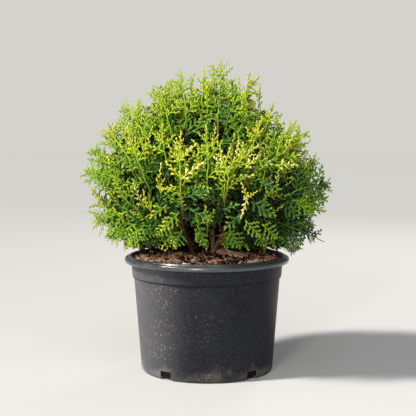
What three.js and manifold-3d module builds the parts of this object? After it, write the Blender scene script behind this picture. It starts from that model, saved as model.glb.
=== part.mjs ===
// A globe thuja in its black nursery pot, as a scene graph of closed solids.
// Units are millimetres, +Z is up. The origin is the centre of the pot's flat underside.
// The side at -Y is the front, and azimuths run from +X towards +Y.
import * as THREE from 'three';
import { mergeVertices } from 'three/addons/utils/BufferGeometryUtils.js';
import Module from 'manifold-3d';

const wasm = await Module();
wasm.setup();

// Driving dimensions
const SEAT_GAP = 0.3; // clearance where one solid rests on another
const LEAF_GAP = 1.2; // clearance of leaves from stems and boughs
const GROUND = 251; // level of the flat cut under every stem
const FINEST_DETAIL = 0.05; // slivers smaller than this are smoothed away

const POT = {
  height: 252,
  rimRadius: 180,
  rimDrop: 16, // height of the rolled rim
  collarTop: 165.5,
  collarBottom: 163,
  collarStep: 208, // level where the collar steps in to the body
  bodyTop: 159.5,
  bodyBottom: 144.5,
  heel: 8,
  footRadius: 139,
  wall: 2.2,
  floor: 7,
  segments: 40,
};
// Drainage notches in the heel, by azimuth from the front.
const NOTCH = { azimuths: [-37, 41, 143, 221], width: 27, height: 15, inner: 124 };

// The mulch is mounded: flat round the stems, and lower at the wall.
const MULCH = { thickness: 14, edge: 240, wallGap: 2.6, flatRadius: 52 };
const CHIPS = { count: 30, from: 64, to: 146, tilt: 17, length: [15, 28], width: [7, 13], height: [4, 6] };
const SLAB = { length: 68, width: 19, height: 9, x: 54, y: -16, turn: -27, slope: 9, lift: 3.8 };

const CROWN = {
  centre: new THREE.Vector3(0, 0, 400), // the outline is measured from here
  radius: 276,
  shoulderDip: 22, // how far the outline is drawn in half way up
  lowerTaper: 1.05, // millimetres lost for each degree below the widest level
  root: new THREE.Vector3(0, 0, 322), // the limbs and masses fan out from here
  lowestInside: 266, // foliage stays above this over the pot
  lowestOutside: 250, // and above this beyond its rim
};

// Main stems stand on the mulch, and each runs up to a mass of its own.
const STEMS = [
  { name: 'stem_centre', foot: [12, 28], mass: 'top_1', radius: 6.2, bend: 8 },
  { name: 'stem_front_left', foot: [-30, 4], mass: 'shoulder_1', radius: 6.2, bend: 16 },
  { name: 'stem_front_right', foot: [10, -12], mass: 'shoulder_2', radius: 5.6, bend: 14 },
  { name: 'stem_back_right', foot: [32, 22], mass: 'shoulder_4', radius: 5, bend: 12 },
  { name: 'stem_back_left', foot: [-22, 36], mass: 'shoulder_5', radius: 5, bend: 12 },
];
const STEM = { sides: 7, steps: 6, sunk: 8, spread: 0.92, flare: 0.5, flareLength: 0.07, taper: 0.8 };
const BOUGH = { sides: 5, steps: 4, radius: 3.3 };
const LIMB_TIP = 2.6;

// Rings of foliage masses: elevation, number and azimuth of the first, in degrees. Their boughs leave
// the stem at a share of its length, arch by a few millimetres, and end at a share of the crown's reach.
const RINGS = [
  { name: 'low', elevation: -12, count: 6, first: -90, leave: 0.14, arch: 10, end: 0.4 },
  { name: 'wide', elevation: 14, count: 6, first: -60, leave: 0.3, arch: 4, end: 0.42 },
  { name: 'shoulder', elevation: 41, count: 5, first: -126, leave: 0.5, arch: 4, end: 0.44 },
  { name: 'upper', elevation: 65, count: 3, first: -90, leave: 0.6, arch: 4, end: 0.46 },
  { name: 'top', elevation: 87, count: 1, first: 0, leave: 0.7, arch: 4, end: 0.48 },
];
// Inside a mass: its stem, and its dense core between two shares of the crown's reach.
const MASS_STEM = { root: 2.6, tip: 1.3, share: 0.7, sides: 5, steps: 3 };
const CORE = { middle: 0.55, from: 0.47, to: 0.64, clearance: 11, least: 0.84, step: 2 };
// Shoots are spread evenly over the crown. Each is a twig with a flat spray, whose tip is on the outline.
const SHOOTS = {
  count: 122,
  lowest: -20,
  rise: 0.85, // under 1 sets more of them high in the crown
  lift: 20, // how far they turn up, in degrees
  roll: 120, // the range of their roll, in degrees
  clearOfCentre: 11,
  sizes: [0.9, 1.1],
  leave: [0.97, 0.16], // the first and last place on the mass's stem
  leaveSlope: 1.7,
};
// A shoot that doesn't fit is tried again, shorter and nearer the middle of its mass.
const RETRY = { attempts: 7, shorter: 0.06, inward: 0.08, drawnIn: 0.12 };
const SPRAY = { length: 112, halfWidth: 44, thickness: 1.4, clearance: 0.8 };
const TWIG = { root: 1.6, tip: 0.9, sides: 3, sunk: 16, clearance: 1.9 };

const COLOURS = {
  pot: { color: 0x25282c, roughness: 0.55 },
  soil: { color: 0x2b1c14, roughness: 1 },
  mulch: { color: 0x5c3a28, roughness: 0.95 },
  slab: { color: 0x8a5d44, roughness: 0.9 },
  bark: { color: 0x6e452c, roughness: 0.9 },
};
const LEAF = { sunny: 0x93a832, shaded: 0x4f7d3a, roughness: 0.6 };
const GOLDEN_ANGLE = 137.508;

const plant = new THREE.Group();
const limbs = []; // the limbs that stand already

// A repeatable sequence of numbers from 0 to 1.
function seededRandom(seed) {
  let state = (seed * 7919 + 104729) % 2147483647;
  const next = () => {
    state = (state * 16807) % 2147483647;
    return state / 2147483647;
  };
  for (let i = 0; i < 3; i++) next();
  return next;
}

const { lerp, clamp, smoothstep, degToRad: radians, radToDeg: degrees } = THREE.MathUtils;

function unitVector(azimuth, elevation) {
  const a = radians(azimuth);
  const e = radians(elevation);
  return new THREE.Vector3(Math.cos(e) * Math.cos(a), Math.cos(e) * Math.sin(a), Math.sin(e));
}

function toSolid(geometry) {
  const bare = geometry.clone();
  bare.deleteAttribute('normal');
  bare.deleteAttribute('uv');
  const merged = mergeVertices(bare, 1e-4);
  return new wasm.Manifold(new wasm.Mesh({
    numProp: 3,
    vertProperties: new Float32Array(merged.attributes.position.array),
    triVerts: new Uint32Array(merged.index.array),
  }));
}

// The largest body of a solid: loose scraps are dropped and sealed hollows filled.
function mainBody(solid) {
  return solid.decompose().reduce((best, body) => (body.volume() > best.volume() ? body : best));
}

function toGeometry(solid) {
  const { vertProperties, triVerts } = mainBody(solid.asOriginal().simplify(FINEST_DETAIL)).getMesh();
  const geometry = new THREE.BufferGeometry();
  geometry.setAttribute('position', new THREE.BufferAttribute(vertProperties, 3));
  geometry.setIndex(new THREE.BufferAttribute(triVerts, 1));
  return geometry;
}

// Whether two corners of a solid lie at one point, which would leave it touching itself along an edge.
function touchesItself(solid) {
  const geometry = toGeometry(solid);
  return mergeVertices(geometry, 1e-3).attributes.position.count < geometry.attributes.position.count;
}

function addNode(name, solid, look) {
  const geometry = toGeometry(solid);
  geometry.computeVertexNormals();
  const mesh = new THREE.Mesh(geometry, new THREE.MeshStandardMaterial({ metalness: 0, ...look }));
  mesh.name = name;
  plant.add(mesh);
}

function turned(profile, segments) {
  const points = profile.map(([r, z]) => new THREE.Vector2(r, z));
  return toSolid(new THREE.LatheGeometry(points, segments).rotateX(Math.PI / 2));
}

// Radius of the pot's inner wall below the collar.
function innerRadius(z) {
  const share = (z - POT.heel) / (POT.collarStep - POT.heel);
  return lerp(POT.bodyBottom, POT.bodyTop, share) - POT.wall;
}

// The pot: a thin injection-moulded shell with a rolled rim, a stepped collar and a foot.
function makePot() {
  const rimBottom = POT.height - POT.rimDrop;
  const collarInner = POT.collarTop - POT.wall;
  const shell = turned([
    [0, 0],
    [46, 0],
    [51, 4],
    [116, 4],
    [121, 0],
    [POT.footRadius, 0],
    [POT.bodyBottom, POT.heel],
    [POT.bodyTop, POT.collarStep - 3],
    [POT.collarBottom, POT.collarStep],
    [POT.collarTop, rimBottom],
    [POT.rimRadius - 4, rimBottom],
    [POT.rimRadius, rimBottom + 5],
    [POT.rimRadius - 2, rimBottom + 13],
    [POT.rimRadius - 8, POT.height],
    [POT.rimRadius - 14, POT.height - 2],
    [collarInner, POT.height - 8],
    [collarInner - 2, POT.collarStep + 3],
    [innerRadius(POT.collarStep), POT.collarStep - 3],
    [innerRadius(POT.floor), POT.floor],
    [0, POT.floor],
  ], POT.segments);
  const depth = POT.rimRadius - NOTCH.inner;
  const notches = NOTCH.azimuths.map((azimuth) => {
    const notch = new THREE.BoxGeometry(depth, NOTCH.width, NOTCH.height * 2);
    notch.translate(NOTCH.inner + depth / 2, 0, 0);
    return toSolid(notch.rotateZ(radians(azimuth - 90)));
  });
  addNode('pot', shell.subtract(wasm.Manifold.union(notches)), COLOURS.pot);
}

const SOIL_TOP = MULCH.edge - MULCH.thickness;

// The potting mix fills the pot up to the underside of the mulch.
function makeSoil() {
  const inside = (z) => innerRadius(z) - SEAT_GAP;
  addNode('potting_mix', turned([
    [0, POT.floor + SEAT_GAP],
    [inside(POT.floor), POT.floor + SEAT_GAP],
    [inside(POT.collarStep - 3), POT.collarStep - 3],
    [inside(POT.collarStep - 3), SOIL_TOP],
    [0, SOIL_TOP],
  ], POT.segments / 2), COLOURS.soil);
}

// Height of the mounded mulch at a radius from the pot's axis.
function mulchLevel(radius) {
  const top = GROUND - SEAT_GAP;
  if (radius <= MULCH.flatRadius) return top;
  const share = (radius - MULCH.flatRadius) / (POT.bodyTop - MULCH.flatRadius);
  return top - (top - MULCH.edge) * share;
}

function chipSolid(random) {
  const size = ([least, most]) => lerp(least, most, random());
  const tilt = () => radians(CHIPS.tilt * (2 * random() - 1));
  const chip = new THREE.BoxGeometry(size(CHIPS.length), size(CHIPS.width), size(CHIPS.height));
  return chip.rotateX(tilt()).rotateY(tilt()).rotateZ(random() * Math.PI);
}

function slabSolid(gap) {
  const slab = new THREE.BoxGeometry(SLAB.length + 2 * gap, SLAB.width + 2 * gap, SLAB.height + 2 * gap);
  slab.rotateY(radians(SLAB.slope)).rotateZ(radians(SLAB.turn));
  return toSolid(slab.translate(SLAB.x, SLAB.y, mulchLevel(Math.hypot(SLAB.x, SLAB.y)) + SLAB.lift));
}

// Bark mulch: one mounded layer with loose chips in its surface, and one large slab bedded in it.
function makeMulch() {
  const random = seededRandom(11);
  const wallRadius = POT.collarTop - POT.wall - MULCH.wallGap;
  const parts = [turned([
    [0, SOIL_TOP + SEAT_GAP],
    [wallRadius, SOIL_TOP + SEAT_GAP],
    [wallRadius, MULCH.edge],
    [MULCH.flatRadius, GROUND - SEAT_GAP],
    [0, GROUND - SEAT_GAP],
  ], POT.segments / 2)];
  for (let k = 0; k < CHIPS.count; k++) {
    const radius = Math.sqrt(lerp(CHIPS.from ** 2, CHIPS.to ** 2, (k + 0.5) / CHIPS.count));
    const place = unitVector(k * GOLDEN_ANGLE, 0).multiplyScalar(radius);
    parts.push(toSolid(chipSolid(random).translate(place.x, place.y, mulchLevel(radius))));
  }
  addNode('bark_mulch', wasm.Manifold.union(parts).subtract(slabSolid(SEAT_GAP)), COLOURS.mulch);
  addNode('bark_slab', slabSolid(0), COLOURS.slab);
}

// A closed limb: a cylinder whose rows are laid along a curve, each with its own radius.
function limb(curve, radiusAt, sides, steps) {
  const geometry = new THREE.CylinderGeometry(1, 1, 1, sides, steps);
  const frames = curve.computeFrenetFrames(steps);
  const position = geometry.attributes.position;
  const local = new THREE.Vector3();
  for (let i = 0; i < position.count; i++) {
    local.fromBufferAttribute(position, i);
    const row = Math.round((local.y + 0.5) * steps);
    const radius = radiusAt(row / steps);
    const point = curve.getPointAt(row / steps);
    point.addScaledVector(frames.normals[row], local.x * radius);
    point.addScaledVector(frames.binormals[row], -local.z * radius);
    position.setXYZ(i, point.x, point.y, point.z);
  }
  return toSolid(geometry);
}

// The crown's outline: a globe, drawn in a little half way up and below its widest level.
function outlineRadius(elevation) {
  if (elevation < 0) return CROWN.radius + CROWN.lowerTaper * elevation;
  return CROWN.radius - CROWN.shoulderDip * Math.sin(2 * radians(elevation)) ** 2;
}

function insideOutline(point) {
  const arm = point.clone().sub(CROWN.centre);
  const elevation = degrees(Math.asin(arm.z / Math.max(arm.length(), 1e-6)));
  if (arm.length() > outlineRadius(elevation)) return false;
  const beyond = smoothstep(Math.hypot(point.x, point.y), POT.bodyTop, POT.rimRadius + 30);
  return point.z > lerp(CROWN.lowestInside, CROWN.lowestOutside, beyond);
}

// Distance from the crown's root to its outline along a direction.
function reachAlong(direction) {
  const step = 2;
  let reach = 60;
  while (insideOutline(CROWN.root.clone().addScaledVector(direction, reach + step))) reach += step;
  return reach;
}

// Masses of foliage: each owns the directions from the crown's root that lie nearest its own.
const masses = RINGS.flatMap((ring) => Array.from({ length: ring.count }, (_, k) => {
  const azimuth = ring.first + (k * 360) / ring.count;
  return { name: `${ring.name}_${k + 1}`, ring, azimuth, direction: unitVector(azimuth, ring.elevation) };
}));

function insideSpace(point, mass, clearance) {
  const arm = point.clone().sub(CROWN.root);
  return insideOutline(point) && masses.every((other) => {
    if (other === mass) return true;
    const across = mass.direction.clone().sub(other.direction).normalize();
    return arm.dot(across) > clearance;
  });
}

function limbEnd({ direction, ring }) {
  return CROWN.root.clone().addScaledVector(direction, reachAlong(direction) * ring.end);
}

function grownLimbs(gap) {
  return wasm.Manifold.union(limbs.map(({ curve, radiusAt, form }) => (
    limb(curve, (t) => radiusAt(t) + gap, form.sides, form.steps))));
}

// Adds a limb, cut level at the ground and clear of those that stand already.
function addLimb(name, mass, curve, radiusAt, form) {
  const solid = limb(curve, radiusAt, form.sides, form.steps).trimByPlane([0, 0, 1], GROUND);
  addNode(name, solid.subtract(grownLimbs(SEAT_GAP)), COLOURS.bark);
  limbs.push({ curve, radiusAt, form });
  mass.tip = { point: curve.getPointAt(1), heading: curve.getTangentAt(1) };
}

function makeStems() {
  STEMS.forEach(({ name, foot, mass: massName, radius, bend }) => {
    const mass = masses.find((one) => one.name === massName);
    const outward = new THREE.Vector3(...foot, 0);
    const ground = outward.clone().setZ(GROUND);
    const below = outward.clone().multiplyScalar(STEM.spread).setZ(GROUND - STEM.sunk);
    const middle = ground.clone().lerp(limbEnd(mass), 0.5).add(outward.setLength(bend));
    const curve = new THREE.CatmullRomCurve3([below, ground, middle, limbEnd(mass)]);
    const flareAt = (t) => radius * STEM.flare * Math.exp(-t / STEM.flareLength);
    const radiusAt = (t) => lerp(radius, LIMB_TIP, t ** STEM.taper) + flareAt(t);
    addLimb(name, mass, curve, radiusAt, STEM);
  });
}

// How far, in degrees of azimuth, a mass lies from the side that a point is on.
function turnTo(point, mass) {
  const azimuth = degrees(Math.atan2(point.y, point.x));
  return Math.abs(((azimuth - mass.azimuth + 540) % 360) - 180);
}

function makeBoughs() {
  const stems = [...limbs];
  masses.filter((mass) => !mass.tip).forEach((mass) => {
    const origins = stems.map((stem) => stem.curve.getPointAt(mass.ring.leave));
    const from = origins.reduce((best, point) => (turnTo(point, mass) < turnTo(best, mass) ? point : best));
    const middle = from.clone().lerp(limbEnd(mass), 0.5);
    middle.z += mass.ring.arch;
    const curve = new THREE.CatmullRomCurve3([from, middle, limbEnd(mass)]);
    addLimb(`bough_${mass.name}`, mass, curve, (t) => lerp(BOUGH.radius, LIMB_TIP, t), BOUGH);
  });
}

// A flat spray: a pointed fan with three side fingers on each edge, set alternately.
function sprayOutline(length, halfWidth) {
  const fingers = [[0.04, 0.08, 0.34, 0.7], [0.26, 0.3, 0.62, 1], [0.52, 0.3, 0.86, 0.66]];
  const edge = (sign, shift) => fingers.flatMap(([foot, inner, tip, outer]) => [
    [foot + shift, sign * inner],
    [tip + shift, sign * outer],
  ]);
  const outline = [...edge(-1, 0.04), [0.8, -0.13], [1, 0], [0.76, 0.13], ...edge(1, -0.03).reverse()];
  return outline.map(([s, w]) => new THREE.Vector2(s * length, w * halfWidth));
}

function placement(base, heading, normal) {
  const side = normal.clone().cross(heading).normalize();
  const up = heading.clone().cross(side).normalize();
  return new THREE.Matrix4().makeBasis(heading, side, up).setPosition(base);
}

function sprayFits(outline, matrix, mass) {
  return outline.every((corner) => {
    const point = new THREE.Vector3(corner.x, corner.y, 0).applyMatrix4(matrix);
    return insideSpace(point, mass, SPRAY.clearance);
  });
}

function spraySolid(outline, matrix) {
  const blade = new THREE.ExtrudeGeometry(new THREE.Shape(outline), {
    depth: SPRAY.thickness,
    bevelEnabled: false,
    steps: 1,
  });
  blade.translate(0, 0, -SPRAY.thickness / 2);
  return toSolid(blade.applyMatrix4(matrix));
}

// Directions spread evenly over the crown, from under its widest level to its top.
function shootDirections() {
  const lowest = Math.sin(radians(SHOOTS.lowest));
  return Array.from({ length: SHOOTS.count }, (_, k) => {
    const height = lowest + (1 - lowest) * ((k + 0.5) / SHOOTS.count) ** SHOOTS.rise;
    return unitVector(k * GOLDEN_ANGLE, degrees(Math.asin(height)));
  });
}

function nearestMass(direction) {
  return masses.reduce((best, mass) => (
    mass.direction.dot(direction) > best.direction.dot(direction) ? mass : best));
}

// Shoots turn up from the direction that they grow in, most of all half way up the crown.
function shootHeading(direction) {
  const elevation = degrees(Math.asin(direction.z));
  const azimuth = degrees(Math.atan2(direction.y, direction.x));
  const share = (elevation - SHOOTS.lowest) / (90 - SHOOTS.lowest);
  return unitVector(azimuth, elevation + SHOOTS.lift * Math.sin(Math.PI * clamp(share, 0, 1)));
}

// One twig with its spray, or nothing where it would leave its space or touch a limb.
function shootSolid(mass, root, tip, size, roll) {
  const aim = tip.clone().sub(CROWN.root).normalize();
  const heading = shootHeading(aim);
  const length = Math.min(SPRAY.length * size, tip.distanceTo(root) - TWIG.sunk);
  const base = tip.clone().addScaledVector(heading, -length);
  const level = new THREE.Vector3(-aim.y, aim.x, 0).normalize();
  const normal = heading.clone().cross(level).applyAxisAngle(heading, roll);
  const outline = sprayOutline(length, SPRAY.halfWidth * size);
  const matrix = placement(base, heading, normal);
  const twigEnd = base.clone().addScaledVector(heading, TWIG.sunk);
  if (!sprayFits(outline, matrix, mass) || !insideSpace(twigEnd, mass, TWIG.clearance)) return null;
  const twigRadius = (t) => lerp(TWIG.root, TWIG.tip, t);
  const twig = limb(new THREE.LineCurve3(root, twigEnd), twigRadius, TWIG.sides, 1);
  const solid = twig.add(spraySolid(outline, matrix));
  return solid.intersect(allLimbs).isEmpty() ? solid : null;
}

// The core of a mass: a faceted lump that fills the middle of its space.
function coreSolid(mass, random) {
  const middle = reachAlong(mass.direction) * CORE.middle;
  const centre = CROWN.root.clone().addScaledVector(mass.direction, middle);
  const inCore = (point) => {
    const arm = point.clone().sub(CROWN.root);
    const share = arm.length() / reachAlong(arm.clone().normalize());
    return insideSpace(point, mass, CORE.clearance) && share > CORE.from && share < CORE.to;
  };
  const geometry = new THREE.IcosahedronGeometry(1, 1).deleteAttribute('normal').deleteAttribute('uv');
  const lump = mergeVertices(geometry);
  const position = lump.attributes.position;
  for (let i = 0; i < position.count; i++) {
    const out = new THREE.Vector3().fromBufferAttribute(position, i).normalize();
    let size = 4 * CORE.step;
    while (inCore(centre.clone().addScaledVector(out, size + CORE.step))) size += CORE.step;
    const corner = centre.clone().addScaledVector(out, size * lerp(CORE.least, 1, random()));
    position.setXYZ(i, corner.x, corner.y, corner.z);
  }
  return toSolid(lump).subtract(allLimbs);
}

// The stem of a mass carries on from the tip of its bough, with a seat gap between them.
function massStem(mass) {
  const { point, heading } = mass.tip;
  const start = point.clone().addScaledVector(heading, SEAT_GAP);
  const reach = reachAlong(mass.direction) * MASS_STEM.share;
  const end = CROWN.root.clone().addScaledVector(mass.direction, reach);
  const bend = start.clone().addScaledVector(heading, start.distanceTo(end) * 0.4);
  return new THREE.QuadraticBezierCurve3(start, bend, end);
}

function massSolid(mass, seed) {
  const random = seededRandom(seed);
  const stem = massStem(mass);
  const stemRadius = (t) => lerp(MASS_STEM.root, MASS_STEM.tip, t);
  const parts = [limb(stem, stemRadius, MASS_STEM.sides, MASS_STEM.steps), coreSolid(mass, random)];
  const [outermost, innermost] = SHOOTS.leave;
  [mass.direction, ...mass.shoots].forEach((direction) => {
    const central = direction === mass.direction;
    const leave = outermost - direction.angleTo(mass.direction) * SHOOTS.leaveSlope;
    const root = stem.getPointAt(clamp(leave, innermost, outermost));
    const full = central ? 1 : lerp(...SHOOTS.sizes, random());
    for (let attempt = 0; attempt < RETRY.attempts; attempt++) {
      const size = full * (1 - RETRY.shorter * attempt);
      const aim = direction.clone().lerp(mass.direction, RETRY.inward * attempt).normalize();
      const share = central ? 1 : Math.min(1, 1 - RETRY.drawnIn * (1 - size));
      const tip = CROWN.root.clone().addScaledVector(aim, reachAlong(aim) * share);
      const solid = shootSolid(mass, root, tip, size, radians(SHOOTS.roll * (random() - 0.5)));
      if (!solid) continue;
      parts.push(solid);
      break;
    }
  });
  return wasm.Manifold.union(parts);
}

// Leaves are yellower on the sunny left side and near the top, and bluer on the right.
function leafLook({ direction }) {
  const sun = clamp(0.5 - 0.4 * direction.x + 0.3 * direction.z, 0, 1);
  const color = new THREE.Color(LEAF.shaded).lerp(new THREE.Color(LEAF.sunny), sun);
  return { color, roughness: LEAF.roughness };
}

makePot();
makeSoil();
makeMulch();
makeStems();
makeBoughs();

const allLimbs = grownLimbs(LEAF_GAP);
masses.forEach((mass) => {
  mass.shoots = [];
});
shootDirections().forEach((direction) => {
  const mass = nearestMass(direction);
  if (direction.angleTo(mass.direction) > radians(SHOOTS.clearOfCentre)) mass.shoots.push(direction);
});
masses.forEach((mass, k) => {
  let seed = k + 1;
  let solid = massSolid(mass, seed);
  while (touchesItself(solid)) {
    seed += masses.length;
    solid = massSolid(mass, seed);
  }
  addNode(`foliage_${mass.name}`, solid, leafLook(mass));
});

export default plant;
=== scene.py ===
# Looks of a globe thuja in its black nursery pot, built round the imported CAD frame.
# Lengths are in metres, +Z is up, and the side at -Y is the front.
import math
import random

import bmesh
import bpy
import numpy as np
from mathutils import Matrix, Vector, noise


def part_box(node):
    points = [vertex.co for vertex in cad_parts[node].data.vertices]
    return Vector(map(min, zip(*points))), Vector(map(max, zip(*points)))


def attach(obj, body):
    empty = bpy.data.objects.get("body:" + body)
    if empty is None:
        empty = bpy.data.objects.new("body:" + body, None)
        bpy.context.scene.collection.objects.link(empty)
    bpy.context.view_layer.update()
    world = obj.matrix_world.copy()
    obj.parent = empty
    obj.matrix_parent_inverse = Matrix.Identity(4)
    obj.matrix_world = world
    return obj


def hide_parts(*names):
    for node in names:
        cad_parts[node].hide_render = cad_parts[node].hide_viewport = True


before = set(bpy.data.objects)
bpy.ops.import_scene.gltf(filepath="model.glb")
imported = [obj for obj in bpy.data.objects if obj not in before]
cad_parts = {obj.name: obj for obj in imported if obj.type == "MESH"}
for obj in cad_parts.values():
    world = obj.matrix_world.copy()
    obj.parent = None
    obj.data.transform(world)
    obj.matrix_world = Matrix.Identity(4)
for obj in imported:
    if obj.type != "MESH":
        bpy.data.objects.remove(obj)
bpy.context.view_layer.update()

MM = 0.001

# The studio.
# A pale plain floor that runs on to the horizon, a soft sun on the left, three lamps and an even pale sky.
# The camera stands two metres away, at the height of the crown.
FLOOR_SIZE = 60
SUN_AZIMUTH = 70  # degrees to the left of the front
SUN_ELEVATION = 44
SUN_WIDTH = 7  # degrees across, for soft shadows
VIEW_DISTANCE = 2060  # of the camera from the pot's axis, in millimetres
VIEW_HEIGHT = 512
CAMERA_PITCH = 4.4  # degrees down
CAMERA_LENS = 81.8  # millimetres, for a sensor 36 mm wide


def add_node(tree, kind, inputs=None, **settings):
    """A shader node with its settings, and with a value or a link for each socket that is named."""
    node = tree.nodes.new(kind)
    for name, value in settings.items():
        setattr(node, name, value)
    for name, value in (inputs or {}).items():
        if isinstance(value, bpy.types.NodeSocket):
            tree.links.new(value, node.inputs[name])
        else:
            node.inputs[name].default_value = value
    return node


def new_finish(name, colour, roughness, gloss=0.5):
    """A plain Principled finish. Returns the material, its node tree and its shader."""
    material = bpy.data.materials.new(name)
    material.use_nodes = True
    shader = material.node_tree.nodes["Principled BSDF"]
    shader.inputs["Base Color"].default_value = (*colour, 1)
    shader.inputs["Roughness"].default_value = roughness
    shader.inputs["Specular IOR Level"].default_value = gloss
    return material, material.node_tree, shader


def soft_lamp(name, place, aim, size, power, colour):
    bpy.ops.object.light_add(type="AREA", location=place)
    lamp = bpy.context.object
    lamp.name = name
    lamp.rotation_euler = (Vector(aim) - Vector(place)).to_track_quat("-Z", "Y").to_euler()
    lamp.data.shape = "DISK"
    lamp.data.size = size
    lamp.data.energy = power
    lamp.data.color = colour


bpy.ops.object.select_all(action="DESELECT")
bpy.ops.mesh.primitive_plane_add(size=FLOOR_SIZE)
floor = bpy.context.object
floor.name = "studio_floor"
floor_paint, _, _ = new_finish("pale floor", (0.5, 0.5, 0.5), 0.9)
floor.data.materials.append(floor_paint)

soft_lamp("overhead_lamp", (0.1, -1.7, 2.5), (0, 0, 0.3), 1.9, 22, (0.95, 0.97, 1))
soft_lamp("low_lamp", (-0.65, -2.4, 0.85), (0, 0, 0.27), 0.4, 27, (1, 0.97, 0.92))
soft_lamp("back_lamp", (1.2, 2.6, 2.2), (0, 0, 0.45), 1.0, 22, (1, 0.98, 0.9))
bpy.ops.object.light_add(type="SUN", rotation=(
    math.radians(90 - SUN_ELEVATION), 0, math.radians(-SUN_AZIMUTH),
))
sun = bpy.context.object
sun.name = "soft_sun"
sun.data.energy = 5.2
sun.data.angle = math.radians(SUN_WIDTH)
sun.data.color = (1, 0.97, 0.89)

sky = bpy.data.worlds.new("pale sky")
bpy.context.scene.world = sky
sky.use_nodes = True
sky_light = sky.node_tree.nodes["Background"]
sky_light.inputs["Color"].default_value = (0.92, 0.95, 1, 1)
sky_light.inputs["Strength"].default_value = 0.19
backdrop = add_node(sky.node_tree, "ShaderNodeBackground", {"Color": (0.651, 0.644, 0.604, 1)})
ray = add_node(sky.node_tree, "ShaderNodeLightPath")
seen = add_node(sky.node_tree, "ShaderNodeMixShader", {
    0: ray.outputs["Is Camera Ray"], 1: sky_light.outputs[0], 2: backdrop.outputs[0],
})
sky.node_tree.links.new(seen.outputs[0], sky.node_tree.nodes["World Output"].inputs["Surface"])
bpy.context.scene.view_settings.view_transform = "Standard"

bpy.ops.object.camera_add(
    location=(0, -VIEW_DISTANCE * MM, VIEW_HEIGHT * MM), rotation=(math.radians(90 - CAMERA_PITCH), 0, 0),
)
camera = bpy.context.object
camera.name = "photo_camera"
camera.data.sensor_width = 36
camera.data.lens = CAMERA_LENS
camera.data.shift_x = 0.0024
bpy.context.scene.camera = camera

# The pot.
# A thin nursery pot moulded in one piece from charcoal polypropylene, with a rolled double rim, a collar
# that steps in to the tapered wall, and a foot ring with four drainage notches. It is matt and dusty.
pot_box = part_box("pot")
POT_HEIGHT = pot_box[1].z
RIM_RADIUS = pot_box[1].x
RIM_BOTTOM = POT_HEIGHT - 16 * MM
COLLAR_STEP = POT_HEIGHT - 44 * MM
COLLAR_TOP = RIM_RADIUS - 14.5 * MM
COLLAR_BOTTOM = COLLAR_TOP - 2.5 * MM
BODY_TOP = COLLAR_BOTTOM - 3.5 * MM
BODY_BOTTOM = BODY_TOP - 15 * MM
HEEL = 8 * MM
FOOT_RADIUS = BODY_BOTTOM - 5.5 * MM
WALL = 2.2 * MM
FLOOR = 7 * MM
COLLAR_WAVE = 0.9 * MM
AXIS_DOT = 0.01 * MM  # the dot that a turned form starts and ends with, on its axis
RECESS = ((46, 0), (51, 4), (116, 4), (121, 0))  # the hollow ring below: mm from the axis, and up
RIM_ROLLS = (  # the double roll and its inner edge: mm out from the widest place, and up from the underside
    (-5, 0), (-1.6, 1.6), (0, 5), (-0.5, 9), (-2.2, 11.4), (-4.2, 12.4), (-5.8, 11.6), (-6.8, 10.6),
    (-7.8, 11.4), (-8.8, 14.4), (-10.6, 16), (-13.4, 16), (-15.4, 14.2),
)
NOTCHES = (-37, 41, 143, 221)  # azimuths from the front
NOTCH_WIDTH = 33 * MM
NOTCH_HEIGHT = 19 * MM
NOTCH_START = 124 * MM  # from the axis
NOTCH_TAPER = 0.8  # the width at its top, as a share


def turned_form(name, profile, segments):
    """A closed form drawn up ring by ring from a point on its axis, and closed at its other end."""
    bpy.ops.object.select_all(action="DESELECT")
    radius, level = profile[0]
    bpy.ops.mesh.primitive_circle_add(vertices=segments, radius=radius, location=(0, 0, level))
    piece = bpy.context.object
    piece.name = name
    bpy.ops.object.transform_apply(location=True)
    bpy.ops.object.mode_set(mode="EDIT")
    bpy.ops.mesh.select_all(action="SELECT")
    for next_radius, next_level in profile[1:]:
        rise = (0, 0, next_level - level)
        bpy.ops.mesh.extrude_region_move(TRANSFORM_OT_translate={"value": rise})
        scale = next_radius / radius
        bpy.ops.transform.resize(value=(scale, scale, 1), center_override=(0, 0, next_level))
        radius, level = next_radius, next_level
    bpy.ops.mesh.select_all(action="SELECT")
    bpy.ops.mesh.remove_doubles(threshold=0.03 * MM)
    bpy.ops.mesh.normals_make_consistent(inside=False)
    bpy.ops.object.mode_set(mode="OBJECT")
    return piece


def select_only(piece):
    bpy.ops.object.select_all(action="DESELECT")
    piece.select_set(True)
    bpy.context.view_layer.objects.active = piece


def smooth(piece, angle=35):
    select_only(piece)
    bpy.ops.object.shade_smooth_by_angle(angle=math.radians(angle))


def inner_radius(level):
    share = (level - HEEL) / (COLLAR_STEP - HEEL)
    return BODY_BOTTOM + (BODY_TOP - BODY_BOTTOM) * share - WALL


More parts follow.
